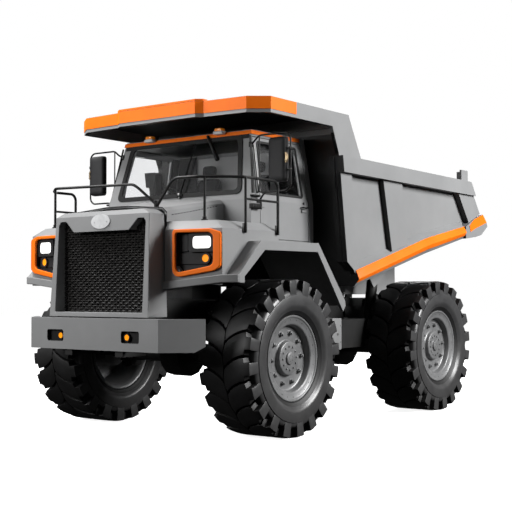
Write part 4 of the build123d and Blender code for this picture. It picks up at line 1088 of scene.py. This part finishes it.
def marker_lens_build(bm):
    """Ribbed amber lenses of the roof marker lamps."""
    for side in (-1, 1):
        marker_box(bm, side, 0.066, -0.028, 0.064, 4.344, 4.392, 0.014, 3)
        for k in range(5):
            x = side * MARKER_X - 0.048 + 0.024 * k
            add_box(bm, at(x - 0.004, -0.032, 4.350), at(x + 0.004, 0.0, 4.386), 0.002, 1)


add_piece("marker_feet", marker_feet_build, (), "badge_silver")
add_piece("marker_lenses", marker_lens_build, (), "lamp_amber", "marker_amber")

# ---- hood seams
SEAM = [(-1.297, 2.989), (-1.290, 3.045), (-0.917, 3.108), (-0.265, 3.233)]
DASH_LONG = 0.040
DASH_STEP = 0.062
HOOD_HALF = 0.9205
DASH_RISE = 0.0055
DASH_DEEP = 0.004
HOOD_LINE = [
    # x, z from the hood's left foot to its top
    (0.9215, 2.20), (0.9215, 3.078), (0.851, 3.136), (0.20, 3.187),
]
HOOD_LINE_Y = -1.399


def seam_build(bm):
    """Row of short dark slots along the hood's removable side."""
    for side in (-1, 1):
        for (y0, z0), (y1, z1) in zip(SEAM, SEAM[1:]):
            length = math.hypot(y1 - y0, z1 - z0)
            along = Vector((0, (y1 - y0) / length, (z1 - z0) / length))
            up = Vector((0, -along.z, along.y)) * DASH_RISE
            for k in range(int(length / DASH_STEP)):
                start = flip(side, HOOD_HALF, y0, z0) + along * (k * DASH_STEP)
                end = start + along * DASH_LONG
                add_plate(bm, [start - up, end - up, end + up, start + up], (-side * DASH_DEEP, 0, 0))


def hood_line_build(bm):
    """Fine dark line between the hood and the radiator shell."""
    across = HOOD_LINE + [(-x, z) for x, z in reversed(HOOD_LINE)]
    add_tube(bm, [at(x, HOOD_LINE_Y, z) for x, z in across], 0.0065, 6)


add_piece("hood_side_slots", seam_build, (), *BLACK_TRIM, 0)
add_piece("hood_front_line", hood_line_build, (), *BLACK_TRIM)

# ---- cab inside
CUSHIONS = [
    # name, low corner, high corner (building metres, before tilt), tilt in degrees, crown
    ("base", (-0.245, 0.565, 3.065), (0.245, 1.060, 3.205), 4.0, 0.030),
    ("back", (-0.235, 1.020, 3.215), (0.235, 1.125, 3.840), -10.0, 0.028),
    ("head", (-0.125, 1.128, 3.865), (0.125, 1.200, 4.030), -8.0, 0.020),
]
SEATS = ((-0.45, "driver"), (0.52, "trainer"))
REAR_CORNER = [(0.830, 3.36), (1.300, 3.36), (1.175, 4.21), (0.830, 4.21)]
REAR_PILLAR = [(1.135, 3.37), (1.285, 3.37), (1.285, 4.20), (1.125, 4.20)]


def cushion_point(unit, half, crown):
    """Place of a point of the unit cube on a stuffed block: corners drawn in, faces swollen, two channels."""
    pull = 1 - 0.06 * abs(unit.x * unit.y * unit.z) - 0.03 * (unit.x * unit.x + unit.z * unit.z) / 2
    place = []
    for n in range(3):
        swell = (1 - unit[(n + 1) % 3] ** 4) * (1 - unit[(n + 2) % 3] ** 4)
        lift = math.copysign(1, unit[n]) * crown * abs(unit[n]) ** 6
        place.append(unit[n] * half[n] * pull + lift * (0.6 * swell - 0.5))
    seam = math.exp(-((abs(unit.x) - 0.5) / 0.07) ** 2)
    place[1 if half.y < half.z else 2] *= 1 - 0.10 * seam
    return Vector(place)


def cushion_build(bm, low, high, crown):
    """Stuffed block between two corners."""
    middle = (Vector(low) + Vector(high)) / 2
    half = (Vector(high) - Vector(low)) / 2
    bmesh.ops.create_cube(bm, size=2.0)
    bmesh.ops.subdivide_edges(bm, edges=bm.edges, cuts=9, use_grid_fill=True)
    for v in bm.verts:
        v.co = middle + cushion_point(v.co.copy(), half, crown)


def piping_build(bm, low, high, flat):
    """Sewn piping round the edge of a base's top, or of a back's front face."""
    if flat:
        corners = [(x, y, high[2]) for x, y in oblong(low[0], high[0], low[1], high[1])]
    else:
        corners = [(x, low[1], z) for x, z in oblong(low[0], high[0], low[2], high[2])]
    middle = sum((Vector(c) for c in corners), Vector()) / 4
    outline = rounded_outline([middle + (Vector(c) - middle) * 0.90 for c in corners], 0.05, 4)
    add_tube(bm, outline + [outline[0]], 0.005, 6)


def seat_frame_build(bm, x):
    """Suspension base under a seat: plinth, folded cover and pan."""
    add_box(bm, at(x - 0.19, 0.62, 2.785), at(x + 0.19, 1.03, 2.83), 0.01)
    for k in range(4):
        spread = 0.175 - 0.012 * (k % 2)
        low = 2.83 + 0.055 * k
        add_box(bm, at(x - spread, 0.83 - spread, low), at(x + spread, 0.83 + spread, low + 0.055), 0.014, 2)
    add_box(bm, at(x - 0.20, 0.60, 3.045), at(x + 0.20, 1.05, 3.066), 0.006)


for seat_x, seat_name in SEATS:
    seat_frame = add_piece("seat_frame_" + seat_name, seat_frame_build, (seat_x,), "dash_plastic")
    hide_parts("seats")
    for part, low, high, tilt, crown in CUSHIONS:
        flat = part == "base"
        mesh = mesh_from(cushion_build, "cushion", low, high, crown)
        cord = mesh_from(piping_build, "piping", low, high, flat)
        pivot = Vector((0, high[1] if flat else low[1], low[2]))
        lean = Matrix.Rotation(math.radians(tilt), 4, "X") @ Matrix.Translation(-pivot)
        lean = Matrix.Translation(at(seat_x, 0, 0)) @ Matrix.Translation(pivot) @ lean
        for data in (mesh, cord):
            data.transform(lean)
        cushion = new_piece("seat_" + part + "_" + seat_name, mesh, "seat_fabric", None, 60)
        smooth = cushion.modifiers.new("smooth", "SUBSURF")
        smooth.levels = 1
        smooth.render_levels = 1
        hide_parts("seats")
        new_piece("seat_piping_" + part + "_" + seat_name, cord, "seat_fabric", "rubber_trim")


def lining_shade_build(bm):
    """Roof lining, black as painted shade under the roof."""
    add_box(bm, at(-1.165, 0.115, 4.228), at(1.165, 1.330, 4.262), 0.012, 2)


def rear_shade_build(bm):
    """Pale shade over the rear window, behind the seats."""
    add_box(bm, at(-0.815, 1.318, 3.465), at(0.815, 1.334, 4.175), 0.004, 2)


def corner_shade_build(bm):
    """Dark panels as painted shade in the cab's rear corners: back wall sides and the inner faces of the rear
    pillars.
    """
    for side in (-1, 1):
        add_plate(bm, [flip(side, x, 1.285, z) for x, z in REAR_CORNER], (0, 0.012, 0))
        add_plate(bm, [on_side(side, y, z, -0.062) for y, z in REAR_PILLAR], side_step(side, -0.008))


# dark panels as painted shade in the cab's rear corners
add_piece("rear_corner_shade", corner_shade_build, (), "dash_plastic")
# roof lining in black: painted shade under the roof
add_piece("roof_lining_shade", lining_shade_build, (), *BLACK_TRIM)
add_piece("rear_window_shade", rear_shade_build, (), "dash_plastic", "window_shade")

# ---- stage, light and camera
FLOOR_HALF = 60
FLOOR_GLOW = 0.90
floor_corners = [(x, y, 0) for x, y in oblong(-FLOOR_HALF, FLOOR_HALF, -FLOOR_HALF, FLOOR_HALF)]
floor_mesh = bpy.data.meshes.new("floor")
floor_mesh.from_pydata(floor_corners, [], [(0, 1, 2, 3)])
floor = linked("floor", floor_mesh)
floor_paint = surface("floor_pale", (0.80, 0.80, 0.80), (0.82, 0.82, 0.82), 0.9, 0.2, 4, 0.02)
set_inputs(shader_of(floor_paint), Emission_Color=(1, 1, 1, 1), Emission_Strength=FLOOR_GLOW)
floor_mesh.materials.append(floor_paint)
floor.visible_diffuse = False
floor.visible_glossy = False

HORIZON = (-0.05, 0.15)
AMBIENT = (0.02, 0.14)
world = bpy.data.worlds.new("studio")
scene.world = world
world.use_nodes = True
sky = world.node_tree
backdrop = sky.nodes["Background"]
set_inputs(backdrop, Color=(1, 1, 1, 1))
seen = sky.nodes.new("ShaderNodeLightPath")
around = sky.nodes.new("ShaderNodeTexCoord")
ambient = ramp(sky, along_axis(sky, around.outputs["Generated"], "Z"), *HORIZON, *AMBIENT)
open_view = combine(sky, "MAXIMUM", seen.outputs["Is Camera Ray"], seen.outputs["Is Transmission Ray"])
sky.links.new(combine(sky, "MAXIMUM", open_view, ambient), backdrop.inputs["Strength"])

LIGHTS = [
    # name, place, size, watts, aim
    ("key", (15.0, 5.0, 8.5), 6.0, 4600, (0.5, 1.5, 2.2)),
    ("front", (-6.5, -15.0, 6.5), 5.0, 1260, (0.0, 0.0, 2.0)),
    ("top", (-5.0, -6.0, 13.0), 6.0, 2700, (0.0, -1.0, 2.6)),
    ("back", (-7.0, 13.0, 7.5), 6.0, 1500, (0.0, 1.0, 2.0)),
]
for name, place, size, watts, aim in LIGHTS:
    data = bpy.data.lights.new(name, "AREA")
    data.size = size
    data.energy = watts
    lamp = linked(name, data)
    lamp.location = place
    lamp.visible_transmission = False
    lamp.rotation_euler = (Vector(aim) - Vector(place)).to_track_quat("-Z", "Y").to_euler()

camera_data = bpy.data.cameras.new("camera")
camera_data.sensor_width = 36.0
camera_data.lens = 74.4
camera = linked("camera", camera_data)
camera.location = at(10.370, -11.931, 2.013)
camera.rotation_euler = (math.radians(90 + 1.917), math.radians(0.069), math.radians(37.052))
scene.camera = camera
scene.view_settings.view_transform = "Standard"
